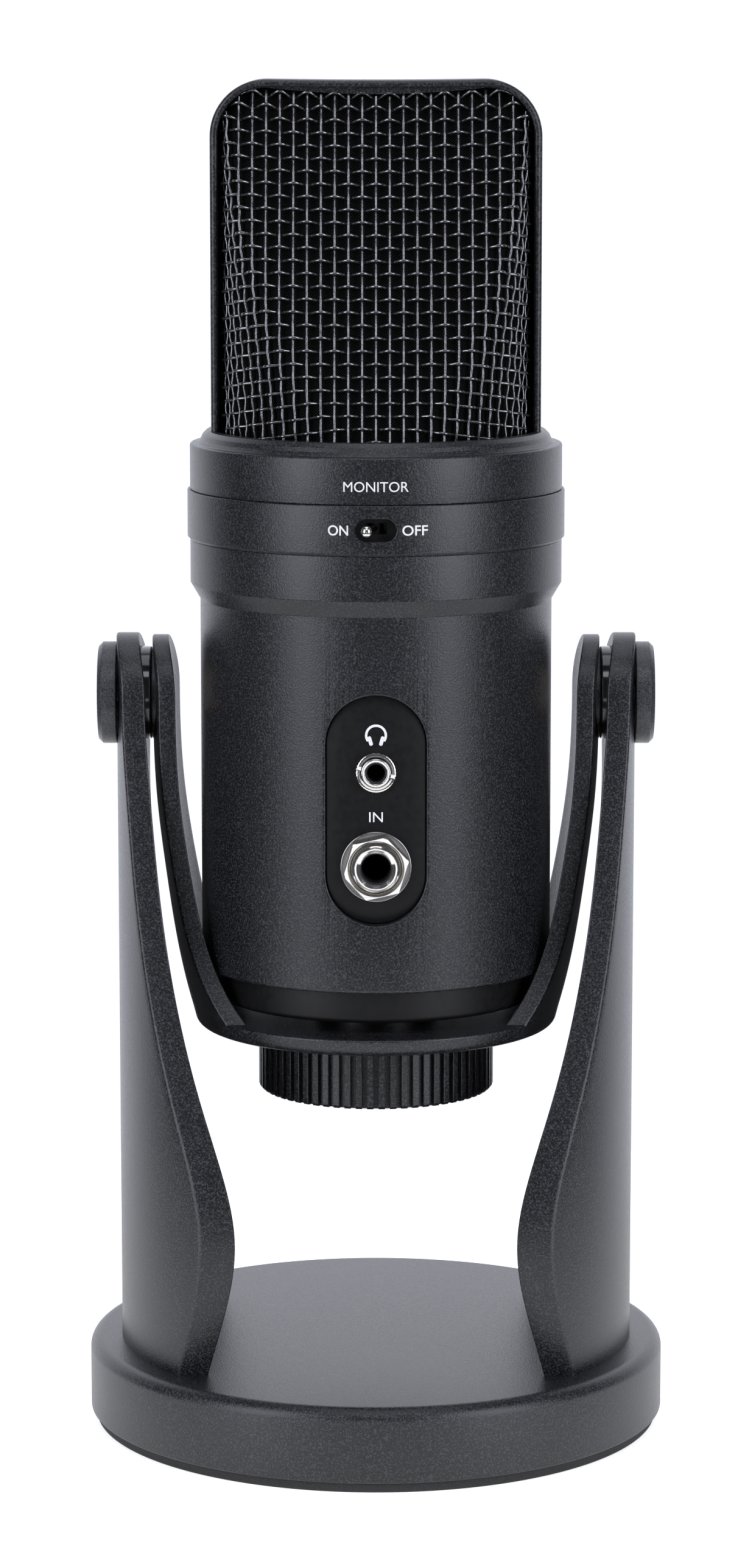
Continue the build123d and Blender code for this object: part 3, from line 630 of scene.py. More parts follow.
MATERIALS = {
    "graphite_paint": graphite_paint(),
    "knob_paint": knob_paint(),
    "gloss_black": smooth_plastic("gloss_black", 0.012, 0.08, 0.14, 2.0, 0.001),
    "black_plastic": smooth_plastic("black_plastic", 0.004, 0.4, 0.52, 0.25, 0.008, 0.27),
    "knob_plastic": smooth_plastic("knob_plastic", 0.02, 0.42, 0.55, 0.3),
    "button_plastic": smooth_plastic("button_plastic", 0.03, 0.35, 0.45, 0.4),
    "switch_plastic": smooth_plastic("switch_plastic", 0.005, 0.5, 0.65),
    "foam_rubber": foam_rubber(),
    "soft_rubber": smooth_plastic("soft_rubber", 0.03, 0.7, 0.85),
    "steel": metal("steel", (0.42, 0.42, 0.43), 0.3, 0.45),
    "nickel": metal("nickel", (0.84, 0.82, 0.78), 0.12, 0.2, 0.12),
    "socket_nickel": metal("socket_nickel", (0.8, 0.78, 0.74), 0.1, 0.18, 0.12),
    "brass": metal("brass", (0.72, 0.52, 0.24), 0.22, 0.35),
    "capsule_gold": metal("capsule_gold", (0.85, 0.66, 0.32), 0.2, 0.3),
    "capsule_band": metal("capsule_band", (0.3, 0.3, 0.31), 0.35, 0.5),
    "grille_wire": grille_wire(),
    "grille_cloth": grille_cloth(),
    "circuit_board": circuit_board(),
    "light_guide": light_guide(),
}
LEGEND_INK = legend_ink()
WASHER_METAL = metal("washer_metal", (0.4, 0.39, 0.37), 0.2, 0.32, 0.12)


def place(made, slot, *nodes, body=None, material=None):
    """Gives a new piece its finish, its body and the CAD nodes it replaces."""
    made.data.materials.clear()
    made.data.materials.append(material or MATERIALS[slot])
    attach(made, body or frame["nodes"][nodes[0]]["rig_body"])
    if nodes:
        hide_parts(*nodes)
    return made


# ---- stand -------------------------------------------------------------------
def base_plate():
    """Round cast base with a soft upper edge, hollow below."""
    plate = turned("base_plate", [
        (0, 11.0), (44.2, 11.0, 0.4), (44.2, PAD_TOP, 0.3), (BASE_R, PAD_TOP, 0.45),
        (BASE_R, BASE_TOP, 2.6), (0, BASE_TOP),
    ], steps=320, round_steps=10)
    place(plate, "graphite_paint", "base_casting")


def base_foot():
    """Foam disc that the base stands on."""
    outline = [(0, 0), (PAD_R, 0, 0.35), (PAD_R, PAD_TOP, 0.25), (0, PAD_TOP)]
    place(turned("base_foot", outline, steps=320), "foam_rubber", "base_pad")


def crowned(outline, radius):
    """Outline continued over a half-round crown to its top."""
    angles = np.linspace(0, math.pi / 2, 28)[1:]
    crown = np.stack((radius * np.cos(angles), PIVOT_Z + radius * np.sin(angles)), -1)
    return np.concatenate((outline, crown))


def stand_arm(side, label):
    """Bellied upright, a slice of a tube with softened edges and a round seat for its knob."""
    front, rear = (
        crowned(spline(list(zip(reach, ARM_LEVELS)), (0.25, 1.0), (-0.08, 1.0), 14), ARM_CROWN_R)
        for reach in (ARM_FRONT, ARM_REAR)
    )
    wall = ARM_RO - ARM_RI
    arm = tube_slice("arm_" + label, front, rear, lambda z: ARM_RO + 0 * z, wall, side, 0.45)
    seat = sorted((side * (KNOB_IN - 0.3), side * (ARM_RO + 3)))
    bore = sorted((side * (ARM_RI - 3), side * (ARM_RO + 3)))
    rest = sorted((side * (ARM_RI - 3), side * ARM_RI))
    cutters = [
        rod(radius, *span, "x", (0, PIVOT_Z))
        for radius, span in ((KNOB_R + 0.3, seat), (3.0, bore), (WASHER_R + 0.1, rest))
    ]
    place(cut(arm, *cutters), "graphite_paint", "stand_arm_" + label)


def pivot_knob(side, label):
    """Clamp knob with a chamfered rim and a dished face."""
    knob = turned("clamp_knob_" + label, [
        (0, side * KNOB_IN), (KNOB_R, side * KNOB_IN, 0.25), (KNOB_R, side * (KNOB_OUT - 0.9), 0.2),
        (KNOB_R - 0.9, side * KNOB_OUT, 0.2), (KNOB_R - 2.2, side * KNOB_OUT, 0.15),
        (KNOB_R - 2.35, side * (KNOB_OUT - 0.5), 0.15), (0, side * (KNOB_OUT - 0.5)),
    ], "x", (0, PIVOT_Z))
    place(knob, "knob_paint", "pivot_knob_" + label)


def pivot_washer(side, label):
    """Glossy friction washer."""
    washer = turned("friction_washer_" + label, [
        (3.0, side * WASHER_IN), (WASHER_R, side * WASHER_IN, 0.4),
        (WASHER_R, side * ARM_RI, 0.2), (3.0, side * ARM_RI),
    ], "x", (0, PIVOT_Z))
    place(washer, "gloss_black", "pivot_washer_" + label)


# ---- yoke --------------------------------------------------------------------
def yoke():
    """Bowl floor with two slices of the bowl's wall rising from it, and the pivot pads."""
    bowl = spline(YOKE_BOWL, (0.3, 1.0), (0.0, 1.0), 20)
    lean = (YOKE_FLOOR_R - YOKE_FLOOR_LOW_R) / (YOKE_FLOOR_TOP - FLOOR_LOW)

    def radius_at(z):
        below = YOKE_FLOOR_R + 0.015 - (YOKE_FLOOR_TOP - z) * lean
        return np.where(z < YOKE_FLOOR_TOP, below, np.interp(z, bowl[:, 1], bowl[:, 0]))

    side = spline(YOKE_OUTLINE, (-0.55, 1.0), (0.0, 1.0), 14)
    foot = side[0] + np.array([(0.55 * drop, -drop) for drop in (1.0, 0.5)])
    outline = crowned(np.concatenate((foot, side)), YOKE_CROWN_R)
    parts = []
    for way in (-1, 1):
        arm = tube_slice("arm", outline, outline, radius_at, YOKE_WALL, way, 0.35)
        hole = sorted((way * (YOKE_R - 8), way * (YOKE_R + 3)))
        parts.append(cut(arm, rod(INSERT_R, *hole, "x", (0, PIVOT_Z))))
        parts.append(turned("pad", [
            (INSERT_R, way * (YOKE_R - 2.4)), (WASHER_R, way * (YOKE_R - 2.4)),
            (WASHER_R, way * YOKE_R, 0.3), (INSERT_R, way * YOKE_R),
        ], "x", (0, PIVOT_Z)))
    parts.append(turned("floor", [
        (BOSS_BORE_R, FLOOR_LOW), (YOKE_FLOOR_LOW_R, FLOOR_LOW, 2.2),
        (YOKE_FLOOR_R, YOKE_FLOOR_TOP, 0.4), (BOSS_BORE_R, YOKE_FLOOR_TOP),
    ], steps=320, round_steps=8))
    place(joined("yoke_cradle", parts), "graphite_paint", "yoke")


def ring_nut():
    """Ring nut with square ribs round its rim."""
    gap = RING_GROOVE_W / 2 / RING_R
    pitch = 2 * math.pi / RING_RIBS
    soft = 0.12
    floor_r = RING_R - RING_GROOVE_D
    rib = [(-gap, floor_r), (gap, floor_r), (gap, RING_R - soft)]
    rib += [(gap + soft / RING_R, RING_R), (pitch / 2, RING_R)]
    rib += [(pitch - gap - soft / RING_R, RING_R), (pitch - gap, RING_R - soft)]
    turn = np.array([i * pitch + angle for i in range(RING_RIBS) for angle, _ in rib])
    radius = np.array([reach for _ in range(RING_RIBS) for _, reach in rib])
    bevel = 0.5
    levels = [(19.5, RING_LOW), (RING_R - bevel, RING_LOW), (RING_R - 0.15, RING_LOW + bevel - 0.1),
              (RING_R, RING_LOW + bevel + 0.1), (RING_R, RING_TOP - bevel), (RING_R - bevel, RING_TOP),
              (BOSS_BORE_R, RING_TOP), (BOSS_BORE_R, RING_LOW), (14.0, RING_LOW), (14.0, RING_LOW + 2),
              (19.5, RING_LOW + 2)]
    place(toothed("ring_nut", radius, turn, levels, "z"), "graphite_paint", "lock_ring")


# ---- body --------------------------------------------------------------------
def cap():
    """Plastic cap under the body."""
    inner = CAP_R - 2.4
    made = turned("body_cap", [
        (12.5, CAP_LOW, 0.2), (CAP_R, CAP_LOW, 1.2), (CAP_R, CAP_TOP), (inner, CAP_TOP),
        (inner, CAP_LOW + 2.5), (12.5, CAP_LOW + 2.5),
    ], steps=256)
    cutters = []
    for turn in (30, 150, 270):
        spot = 26 * math.cos(math.radians(turn)), 26 * math.sin(math.radians(turn))
        cutters.append(rod(2.8, CAP_LOW - 1, CAP_LOW + 1.2, at=spot, steps=48))
    place(cut(made, *cutters), "black_plastic", "bottom_cap")


def main_shell():
    """Cast tube with a bevelled shoulder, a window front and back and the slider's slot."""
    inner, wide = BODY_R - BODY_WALL, COLLAR_R - COLLAR_WALL
    shell = turned("main_shell", [
        (inner, BODY_LOW), (BODY_R, BODY_LOW, 0.8), (BODY_R, BEVEL_LOW, 0.5),
        (COLLAR_R, BEVEL_TOP, 0.5), (COLLAR_R, BODY_TOP, 0.25), (wide, BODY_TOP),
        (wide, BEVEL_TOP + 0.4), (inner, BEVEL_LOW + 0.4),
    ], steps=320)
    window = obround(2 * PANEL_HALF, PANEL_TOP - PANEL_LOW)
    middle = (PANEL_TOP + PANEL_LOW) / 2
    cutters = [wall_cutter(window, middle, BODY_R, side, 0.45, 30.0) for side in (-1, 1)]
    cutters.append(wall_cutter(obround(11.0, 3.2), PATTERN_Z, COLLAR_R, 1, 0.3, 30.0))
    place(cut(shell, *cutters), "graphite_paint", "body_shell")


def middle_band():
    """Slightly proud band with the switch slot and the button hole."""
    inner = COLLAR_R - COLLAR_WALL
    band = turned("middle_band", [
        (inner, BODY_TOP), (MID_RING_R - 0.5, BODY_TOP, 0.1), (MID_RING_R, BODY_TOP + 0.5, 0.25),
        (MID_RING_R, COLLAR_LOW, 0.3), (inner, COLLAR_LOW),
    ], steps=320)
    width = 2 * MUTE_R + 0.5
    slot = wall_cutter(obround(8.1, 4.5), SWITCH_Z, MID_RING_R, -1, 0.3, 25.0)
    hole = wall_cutter(obround(width, width), SWITCH_Z, MID_RING_R, 1, 0.3, 25.0)
    place(cut(band, slot, hole), "graphite_paint", "control_ring")


def top_band():
    """Top band whose lip rises in a small cove to the head."""
    inner, lip = COLLAR_R - COLLAR_WALL, MESH_R + 0.5
    band = turned("top_band", [
        (inner, COLLAR_LOW), (COLLAR_R, COLLAR_LOW, 0.25), (COLLAR_R, COLLAR_TOP, 0.45),
        (36.6, COLLAR_TOP + 0.1, 0.6), (35.9, COLLAR_TOP + 0.9, 0.5), (35.5, LIP_TOP - 0.9, 0.5),
        (34.6, LIP_TOP, 0.6), (lip, LIP_TOP, 0.3), (lip, HEAD_LOW), (inner, HEAD_LOW),
    ], steps=320)
    depth = HEAD_DEPTH + 0.1
    pocket = bar_y("cutter", block(HEAD_HALF + 0.1, 3.0), (0.0, LIP_TOP - 1.5), [(0, -depth), (0, depth)])
    light = wall_cutter(obround(2.3, 2.3), LIGHT_Z, COLLAR_R, 1, 0.2, 25.0)
    place(cut(band, pocket, light), "graphite_paint", "head_collar")


# ---- sockets -----------------------------------------------------------------
def front_plate():
    """Inset panel with bored holes for the sockets."""
    window = obround(2 * PANEL_HALF - 0.3, PANEL_TOP - PANEL_LOW - 0.3)
    middle = (PANEL_TOP + PANEL_LOW) / 2
    plate = bar_y("front_plate", window, (0.0, middle), [
        (-0.25, -PANEL_FACE), (-0.07, -PANEL_FACE + 0.07), (0, -PANEL_FACE + 0.25),
        (0, -31.0), (1.65, -31.0), (1.65, -29.5),
    ])
    cutters = []
    for radius, height in ((4.85, INSTRUMENT_Z), (3.0, HEADPHONE_Z)):
        rings = [(0.25, -40.0), (0.25, -PANEL_FACE), (0.0, -PANEL_FACE + 0.25), (0.0, -20.0)]
        cutters.append(bar_y("cutter", obround(2 * radius, 2 * radius), (0.0, height), rings))
    place(cut(plate, *cutters), "black_plastic", "jack_panel")


def threaded(radius, core, start, end, pitch):
    """Outline points of V thread ridges along an axis."""
    points = []
    for i in range(int(round((end - start) / pitch))):
        points += [(core, start + i * pitch), (radius, start + (i + 0.5) * pitch, 0.06)]
    return points + [(core, end)]


def instrument_socket():
    """Threaded bushing of the large socket, with its housing behind."""
    bushing = turned("bushing", [
        (3.25, -30.0), (3.25, -JACK_FACE + 0.6), (3.95, -JACK_FACE, 0.05), (4.3, -JACK_FACE, 0.05),
        *threaded(4.75, 4.4, -JACK_FACE + 0.2, -PANEL_FACE, 0.63), (4.4, -30.0),
    ], "y", (0, INSTRUMENT_Z), steps=96)
    housing = bar_y("housing", block(7.75, 8.5), (0.0, INSTRUMENT_Z), [(0, -29.5), (0, -5.0)])
    bore = rod(3.25, -31, -6, "y", (0, INSTRUMENT_Z), 96)
    socket = joined("instrument_socket", [bushing, cut(housing, bore)])
    place(socket, "socket_nickel", "instrument_jack")
    sleeve("instrument_sleeve", 3.24, 2.95, -JACK_FACE + 1.1, -7.0, INSTRUMENT_Z)


def sleeve(name, radius, bore, mouth, bottom, height):
    """Black insulating cup that lines a socket."""
    inner = bottom - 1.0
    cup = turned(name, [
        (0, bottom), (radius, bottom), (radius, mouth), (bore, mouth, 0.1), (bore, inner), (0, inner),
    ], "y", (0, height), steps=72)
    place(cup, "switch_plastic", body="microphone")


def headphone_socket():
    """Bushing of the small socket."""
    bushing = turned("bushing", [
        (2.2, -30.0), (2.2, -SMALL_JACK_FACE, 0.1), (2.8, -SMALL_JACK_FACE, 0.1),
        (2.9, -SMALL_JACK_FACE + 0.25), (2.9, -30.0),
    ], "y", (0, HEADPHONE_Z), steps=72)
    housing = bar_y("housing", block(6.5, 5.0, 1.5), (0.0, HEADPHONE_Z), [(0, -29.5), (0, -15.5)])
    bore = rod(1.8, -31, -17, "y", (0, HEADPHONE_Z), 72)
    socket = joined("headphone_socket", [bushing, cut(housing, bore)])
    place(socket, "socket_nickel", "headphone_jack")
    sleeve("headphone_sleeve", 2.19, 1.8, -SMALL_JACK_FACE + 0.3, -18.0, HEADPHONE_Z)


def flat_washer():
    """Washer under the hex nut."""
    washer = turned("flat_washer", [
        (4.75, -PANEL_FACE), (4.75, -PANEL_FACE - 0.8, 0.15), (7.15, -PANEL_FACE - 0.8, 0.22),
        (7.15, -PANEL_FACE, 0.1),
    ], "y", (0, INSTRUMENT_Z), steps=128)
    place(washer, "nickel", "instrument_washer", material=WASHER_METAL)


def hex_nut():
    """Hex nut whose corners are turned off by a cone."""
    across_flats, start = 11.6, PANEL_FACE + 0.8
    end = start + 2.4
    outline = flat_polygon(6, across_flats, 13)
    nut = bar_y("hex_nut", outline, (0.0, INSTRUMENT_Z), [(0, -start), (0, -end)])
    corner_r = across_flats / math.sqrt(3)
    cone = [(20, -end - 1), (corner_r - 1.9, -end - 1), (corner_r - 0.3, -end), (20, -end + 6.9)]
    bore = [(0, -45), (5.7, -45), (5.7, -end), (4.8, -end + 0.8), (4.8, -20), (0, -20)]
    nut = cut(
        nut,
        turned("cutter", cone, "y", (0, INSTRUMENT_Z), steps=128),
        turned("cutter", bore, "y", (0, INSTRUMENT_Z), steps=96),
    )
    soften(nut, 0.12)
    place(nut, "nickel", "instrument_nut")


def soften(made, width):
    """Small round on every edge sharper than 25 degrees."""
    bevel = made.modifiers.new("soften", "BEVEL")
    bevel.width = width * MM
    bevel.segments = 3
    bevel.limit_method = "ANGLE"
    bevel.angle_limit = math.radians(25)
    bevel.harden_normals = True
    settle(made)


def knurled_nut():
    """Knurled ring nut with two spanner slots."""
    radius, teeth, thick = 4.03, 36, 1.7
    turn = np.linspace(0, 2 * math.pi, teeth * 6, endpoint=False)
    ridge = radius - 0.16 * (0.5 - 0.5 * np.cos(turn * teeth)) ** 2
    face = -PANEL_FACE - thick
    levels = [(3.0, -PANEL_FACE), (5, -PANEL_FACE), (5, face + 0.35), (radius - 0.1, face + 0.12),
              (radius - 0.35, face), (3.4, face), (3.1, face + 0.3)]
    nut = toothed("knurled_nut", ridge, turn, levels, "y", HEADPHONE_Z)
    slot = bar_y("cutter", block(6.0, 0.45, lean=-14), (0.0, HEADPHONE_Z), [(0, face + 0.7), (0, face - 1)])
    place(cut(nut, slot), "nickel", "headphone_nut")


def monitor_lever():
    """Toggle with a waisted shank and a ball tip, leaning to its ON side."""
    length, tip, lean = 7.92, 1.18, math.asin(1.85 / 7.92)
    ball = [(tip * math.sin(t), -length - tip * math.cos(t)) for t in np.linspace(0, 2.35, 20)]
    shank = [(0.72, -length + 1.9, 0.8), (0.8, 0.0), (0, 0.0)]
    lever = turned("monitor_lever", ball + shank, "y", steps=64)
    barrel = turned("lever_barrel", [(0, -1.9), (1.5, -1.9, 0.2), (1.5, 1.9, 0.2), (0, 1.9)], steps=48)
    pivot = Matrix.Translation(Vector((0, -32.5, SWITCH_Z)) * MM) @ Matrix.Rotation(-lean, 4, "Z")
    lever.data.transform(pivot)
    barrel.data.transform(pivot)
    place(lever, "nickel", "monitor_switch_lever")
    place(barrel, "switch_plastic", body=frame["nodes"]["monitor_switch_lever"]["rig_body"])


# ---- head --------------------------------------------------------------------
def head_outline(half, top, corner, bow):
    """Hoop outline in X and Z from the left foot over the top to the right foot."""
    inner, steps = half - corner, 24
    leg = np.stack((np.full(steps, half), np.linspace(HEAD_LOW, top - corner, steps)), -1)
    angles = np.linspace(0, math.pi / 2, steps + 1)[1:]
    shoulder = np.stack((inner + corner * np.cos(angles), top - corner + corner * np.sin(angles)), -1)
    x = np.linspace(inner, 0, steps + 1)[1:]
    crown = np.stack((x, top - bow * (1 - (x / inner) ** 2)), -1)
    right = np.concatenate((leg, shoulder, crown))
    left = right[-2::-1] * (-1, 1)
    return np.concatenate((right, left))


def hoop():
    """Hoop over the head: rounded outside, with proud rims in front and behind the mesh."""
    def outer(inset):
        return head_outline(HEAD_HALF - inset, HEAD_TOP - inset, HEAD_CORNER - inset, 0.2)

    def core(grow):
        return head_outline(MESH_HALF + grow, MESH_TOP_SIDE + grow, MESH_CORNER + grow, MESH_BOW)

    core_y = HEAD_DEPTH - HEAD_STEP
    edge, lip = 0.9, 0.25
    half_section = [(core, 0.1, core_y), (core, 0.22, core_y), (outer, HEAD_WALL, core_y)]
    turn = [(math.cos(t), math.sin(t)) for t in np.linspace(0, math.pi / 2, 8)]
    half_section += [(outer, HEAD_WALL - lip * (1 - c), HEAD_DEPTH - lip * (1 - s)) for c, s in turn]
    half_section += [(outer, edge * (1 - s), HEAD_DEPTH - edge * (1 - c)) for c, s in turn]
    section = [(*point, 1) for point in half_section] + [(*point, -1) for point in half_section[::-1]]
    rings = []
    for shape, amount, y, side in section:
        curve = shape(amount)
        rings.append(np.stack((curve[:, 0], np.full(len(curve), side * y), curve[:, 1]), -1))
    points = np.stack(rings, 1)
    made = piece("head_hoop", points.reshape(-1, 3), capped(*points.shape[:2]))
    place(made, "graphite_paint", "grille_frame")


class HeadSurface:
    """The mesh's wedge: round flanks that two sloping facets cut, inset from the outside."""

    def __init__(self, inset):
        self.heights = np.linspace(HEAD_LOW, HEAD_TOP, 120)
        self.step = 0.1
        radius = MESH_R - inset
        turn = np.linspace(math.pi / 2, 0.02, 600)
        softness = 16
        tables, self.ends = [], []
        for height in self.heights:
            flat = MESH_FOOT_Y - MESH_SLOPE * (height - MESH_FOOT_Z) - inset * math.hypot(1, MESH_SLOPE)
            reach = (radius**-softness + (np.sin(turn) / flat) ** softness) ** (-1 / softness)
            x, y = reach * np.cos(turn), reach * np.sin(turn)
            arc = np.concatenate(([0], np.cumsum(np.hypot(np.diff(x), np.diff(y)))))
            spots = np.arange(0, 48, self.step)
            tables.append((np.interp(spots, arc, x), np.interp(spots, arc, y)))
            self.ends.append(arc[-1])
        self.table = np.array(tables)

    def at(self, arc, height, lift=0.0):
        """Points at signed arc lengths from the middle, lifted off the surface."""
        base = self.spot(arc, height)
        along = self.spot(arc + 0.2, height) - self.spot(arc - 0.2, height)
        up = self.spot(arc, height + 0.5) - self.spot(arc, height - 0.5)
        normal = np.cross(along, up)
        normal /= np.linalg.norm(normal, axis=-1)[:, None]
        return base + normal * np.reshape(lift, (-1, 1)), normal

    def spot(self, arc, height):
        """Points of the bare surface."""
        rows = len(self.heights)
        row = np.clip((height - HEAD_LOW) / (HEAD_TOP - HEAD_LOW) * (rows - 1), 0, rows - 1.001)
        column = np.clip(np.abs(arc) / self.step, 0, self.table.shape[2] - 1.001)
        i, j = row.astype(int), column.astype(int)
        p, q = (row - i), (column - j)
        value = [
            (1 - p) * ((1 - q) * self.table[i, k, j] + q * self.table[i, k, j + 1])
            + p * ((1 - q) * self.table[i + 1, k, j] + q * self.table[i + 1, k, j + 1])
            for k in (0, 1)
        ]
        return np.stack((np.sign(arc) * value[0], -value[1], height), -1)

    def end(self, height):
        """Arc length from the middle to the hoop's plane."""
        return np.interp(height, self.heights, self.ends) - 0.3

    def crease(self, height):
        """Arc length at which the flat facet turns into the flank."""
        flat = MESH_FOOT_Y - MESH_SLOPE * (height - MESH_FOOT_Z)
        return np.sqrt(np.maximum(MESH_R**2 - np.minimum(flat, MESH_R) ** 2, 1))


def mesh_top(x):
    """Height of the hoop's inner edge over a place in X."""
    inner = MESH_HALF - MESH_CORNER
    off = np.clip(np.abs(x) - inner, 0, MESH_CORNER)
    crown = MESH_TOP_SIDE - MESH_BOW * (1 - np.clip(np.abs(x) / inner, 0, 1) ** 2)
    shoulder = MESH_TOP_SIDE - MESH_CORNER + np.sqrt(MESH_CORNER**2 - off**2)
    return np.where(np.abs(x) < inner, crown, shoulder)


def wire(points, normals):
    """Closed tube round a path, with the faces counted from zero."""
    along = np.gradient(points, axis=0)
    along /= np.linalg.norm(along, axis=1)[:, None]
    beside = np.cross(along, normals)
    beside /= np.linalg.norm(beside, axis=1)[:, None]
    above = np.cross(beside, along)
    turn = np.linspace(0, 2 * math.pi, WIRE_SIDES, endpoint=False)
    upward = np.cos(turn)[None, :, None] * above[:, None]
    sideward = np.sin(turn)[None, :, None] * beside[:, None]
    ring = WIRE_R * (upward + sideward)
    return (points[:, None] + ring).reshape(-1, 3), capped(len(points), WIRE_SIDES)


def weft_height(row, arc, surface):
    """Height of a cross wire: bowed on the facet, falling slightly round the flank."""
    middle = WEFT_FIRST + WEFT_PITCH * row
    bow = 0.95 * np.clip((middle - 218) / 54, 0, 1) ** 0.8
    crease = surface.crease(np.array([middle]))[0]
    share = np.abs(arc) / crease
    flank = np.maximum(np.abs(arc) - crease, 0)
    return middle + bow * np.minimum(share, 1) ** 2 - 0.14 * flank


def woven_wires(surface):
    """Plain weave of cross wires over and under upright wires, trimmed to the hoop."""
    wires = []

    def keep(points, normals, height):
        x, y = points[:, 0], points[:, 1]
        inside = (np.abs(x) < MESH_HALF) & (height < mesh_top(x) - 0.1) & (y < -1.5)
        if inside.sum() > 3:
            wires.append(wire(points[inside], normals[inside]))

    for row in range(WEFT_ROWS):
        arc = np.arange(-44, 44.01, WARP_PITCH / 6)
        height = weft_height(row, arc, surface)
        lift = WEFT_CRIMP * np.cos(math.pi * arc / WARP_PITCH) * (-1) ** row
        points, normals = surface.at(arc, height, lift)
        rolled = np.clip(1 - (WEFT_ROWS - 1 - row) / 3, 0, 1)
        points[:, 2] += 0.55 * rolled * lift
        keep(points, normals, height)
    for column in range(-WARP_REACH, WARP_REACH + 1):
        height = np.arange(HEAD_LOW + 0.6, HEAD_TOP - 1, WEFT_PITCH / 6)
        arc = np.full(len(height), column * WARP_PITCH)
        row_place = (height - WEFT_FIRST) / WEFT_PITCH
        lift = -WARP_CRIMP * np.cos(math.pi * row_place) * (-1) ** column
        points, normals = surface.at(arc, height, lift)
        keep(points, normals, height)
    return wires


def grille(name, turn):
    """Woven wire screen and the cloth behind it, for one side of the head."""
    surface = HeadSurface(WIRE_INSET)
    points, faces, start = [], [], 0
    for tube, tube_faces in woven_wires(surface):
        points.append(tube)
        faces += [tuple(start + index for index in face) for face in tube_faces]
        start += len(tube)
    spin = np.array([(turn, 0, 0), (0, turn, 0), (0, 0, 1)])
    screen = piece("grille_wires_" + name, np.concatenate(points) @ spin, faces, 60)
    place(screen, "grille_wire", "grille_mesh_" + name)
    cloth(name, spin)


def cloth(name, spin):
    """Cloth sheet just behind the wires, closed, with thread counts as its UV."""
    surface = HeadSurface(WIRE_INSET + WEFT_CRIMP + WIRE_R)
    columns, rows = 121, 90
    edge_x, tuck_y = MESH_HALF + 0.07, 5.5
    share = np.linspace(-1, 1, columns)
    top = np.full(columns, HEAD_TOP - 4.0)
    for _ in range(6):
        top = mesh_top(surface.spot(share * surface.end(top), top)[:, 0]) + 0.07
    points, uvs = [], []
    for depth in (0.0, -0.25):
        for step in np.linspace(0, 1, rows):
            height = HEAD_LOW + 0.3 + step * (top - HEAD_LOW - 0.3)
            arc = share * surface.end(height)
            sheet, _ = surface.at(arc, height, depth)
            tuck = np.clip((tuck_y + sheet[:, 1]) / 3.0, 0, 1)
            tuck *= np.clip((np.abs(share) - 0.86) / 0.1, 0, 1)
            sheet[:, 0] += tuck * (np.sign(arc) * edge_x - sheet[:, 0])
            points.append(sheet @ spin)
            uvs.append(np.stack((arc, height), -1) / CLOTH_THREAD)
    count = rows * columns
    front = grid(rows, columns)
    back = [tuple(count + index for index in face[::-1]) for face in front]
    rim = [*range(columns)] + [i * columns + columns - 1 for i in range(1, rows)]
    rim += [(rows - 1) * columns + j for j in range(columns - 2, -1, -1)]
    rim += [i * columns for i in range(rows - 2, 0, -1)]
    sides = [(a, b, count + b, count + a) for a, b in zip(rim, rim[1:] + rim[:1])]
    mesh = bpy.data.meshes.new("grille_cloth_" + name)
    mesh.from_pydata((np.concatenate(points) * MM).tolist(), [], front + back + sides)
    layer = mesh.uv_layers.new(name="threads")
    counts = np.concatenate(uvs)
    index = np.zeros(len(mesh.loops), int)
    mesh.loops.foreach_get("vertex_index", index)
    layer.data.foreach_set("uv", counts[index].ravel())
    shade(mesh, 50)
    place(linked("grille_cloth_" + name, mesh), "grille_cloth", "grille_liner_" + name)


# ---- legends -----------------------------------------------------------------
def printed(name, mesh, centre_x, centre_z, size, radius):
    """Ink on a surface: a flat mesh in X and Y is scaled, placed and bent round the body."""
    points = np.array([vertex.co for vertex in mesh.vertices])
    lowest, highest = points.min(0), points.max(0)
    points = (points - (lowest + highest) / 2) / (highest - lowest) * (*size, 1.0)
    x = points[:, 0] + centre_x
    out = 0.02 + 0.02 * points[:, 2]
    face = np.full(len(x), PANEL_FACE) if radius is None else np.sqrt(radius**2 - x**2)
    placed = np.stack((x, -face - out, points[:, 1] + centre_z), -1)
    mesh.vertices.foreach_set("co", (placed * MM).ravel())
    mesh.update()
    place(linked(name, mesh), "graphite_paint", body="microphone", material=LEGEND_INK)


def lettering(name, text, centre_x, centre_z, size, radius, weight=0.0):
    """A word in the built-in typeface."""
    curve = bpy.data.curves.new(name, "FONT")
    curve.body = text
    curve.offset = weight
    curve.extrude = 0.05
    curve.resolution_u = 8
    holder = linked(name, curve)
    depsgraph = bpy.context.evaluated_depsgraph_get()
    mesh = bpy.data.meshes.new_from_object(holder.evaluated_get(depsgraph))
    bpy.data.objects.remove(holder)
    mesh.name = name
    printed(name, mesh, centre_x, centre_z, size, radius)


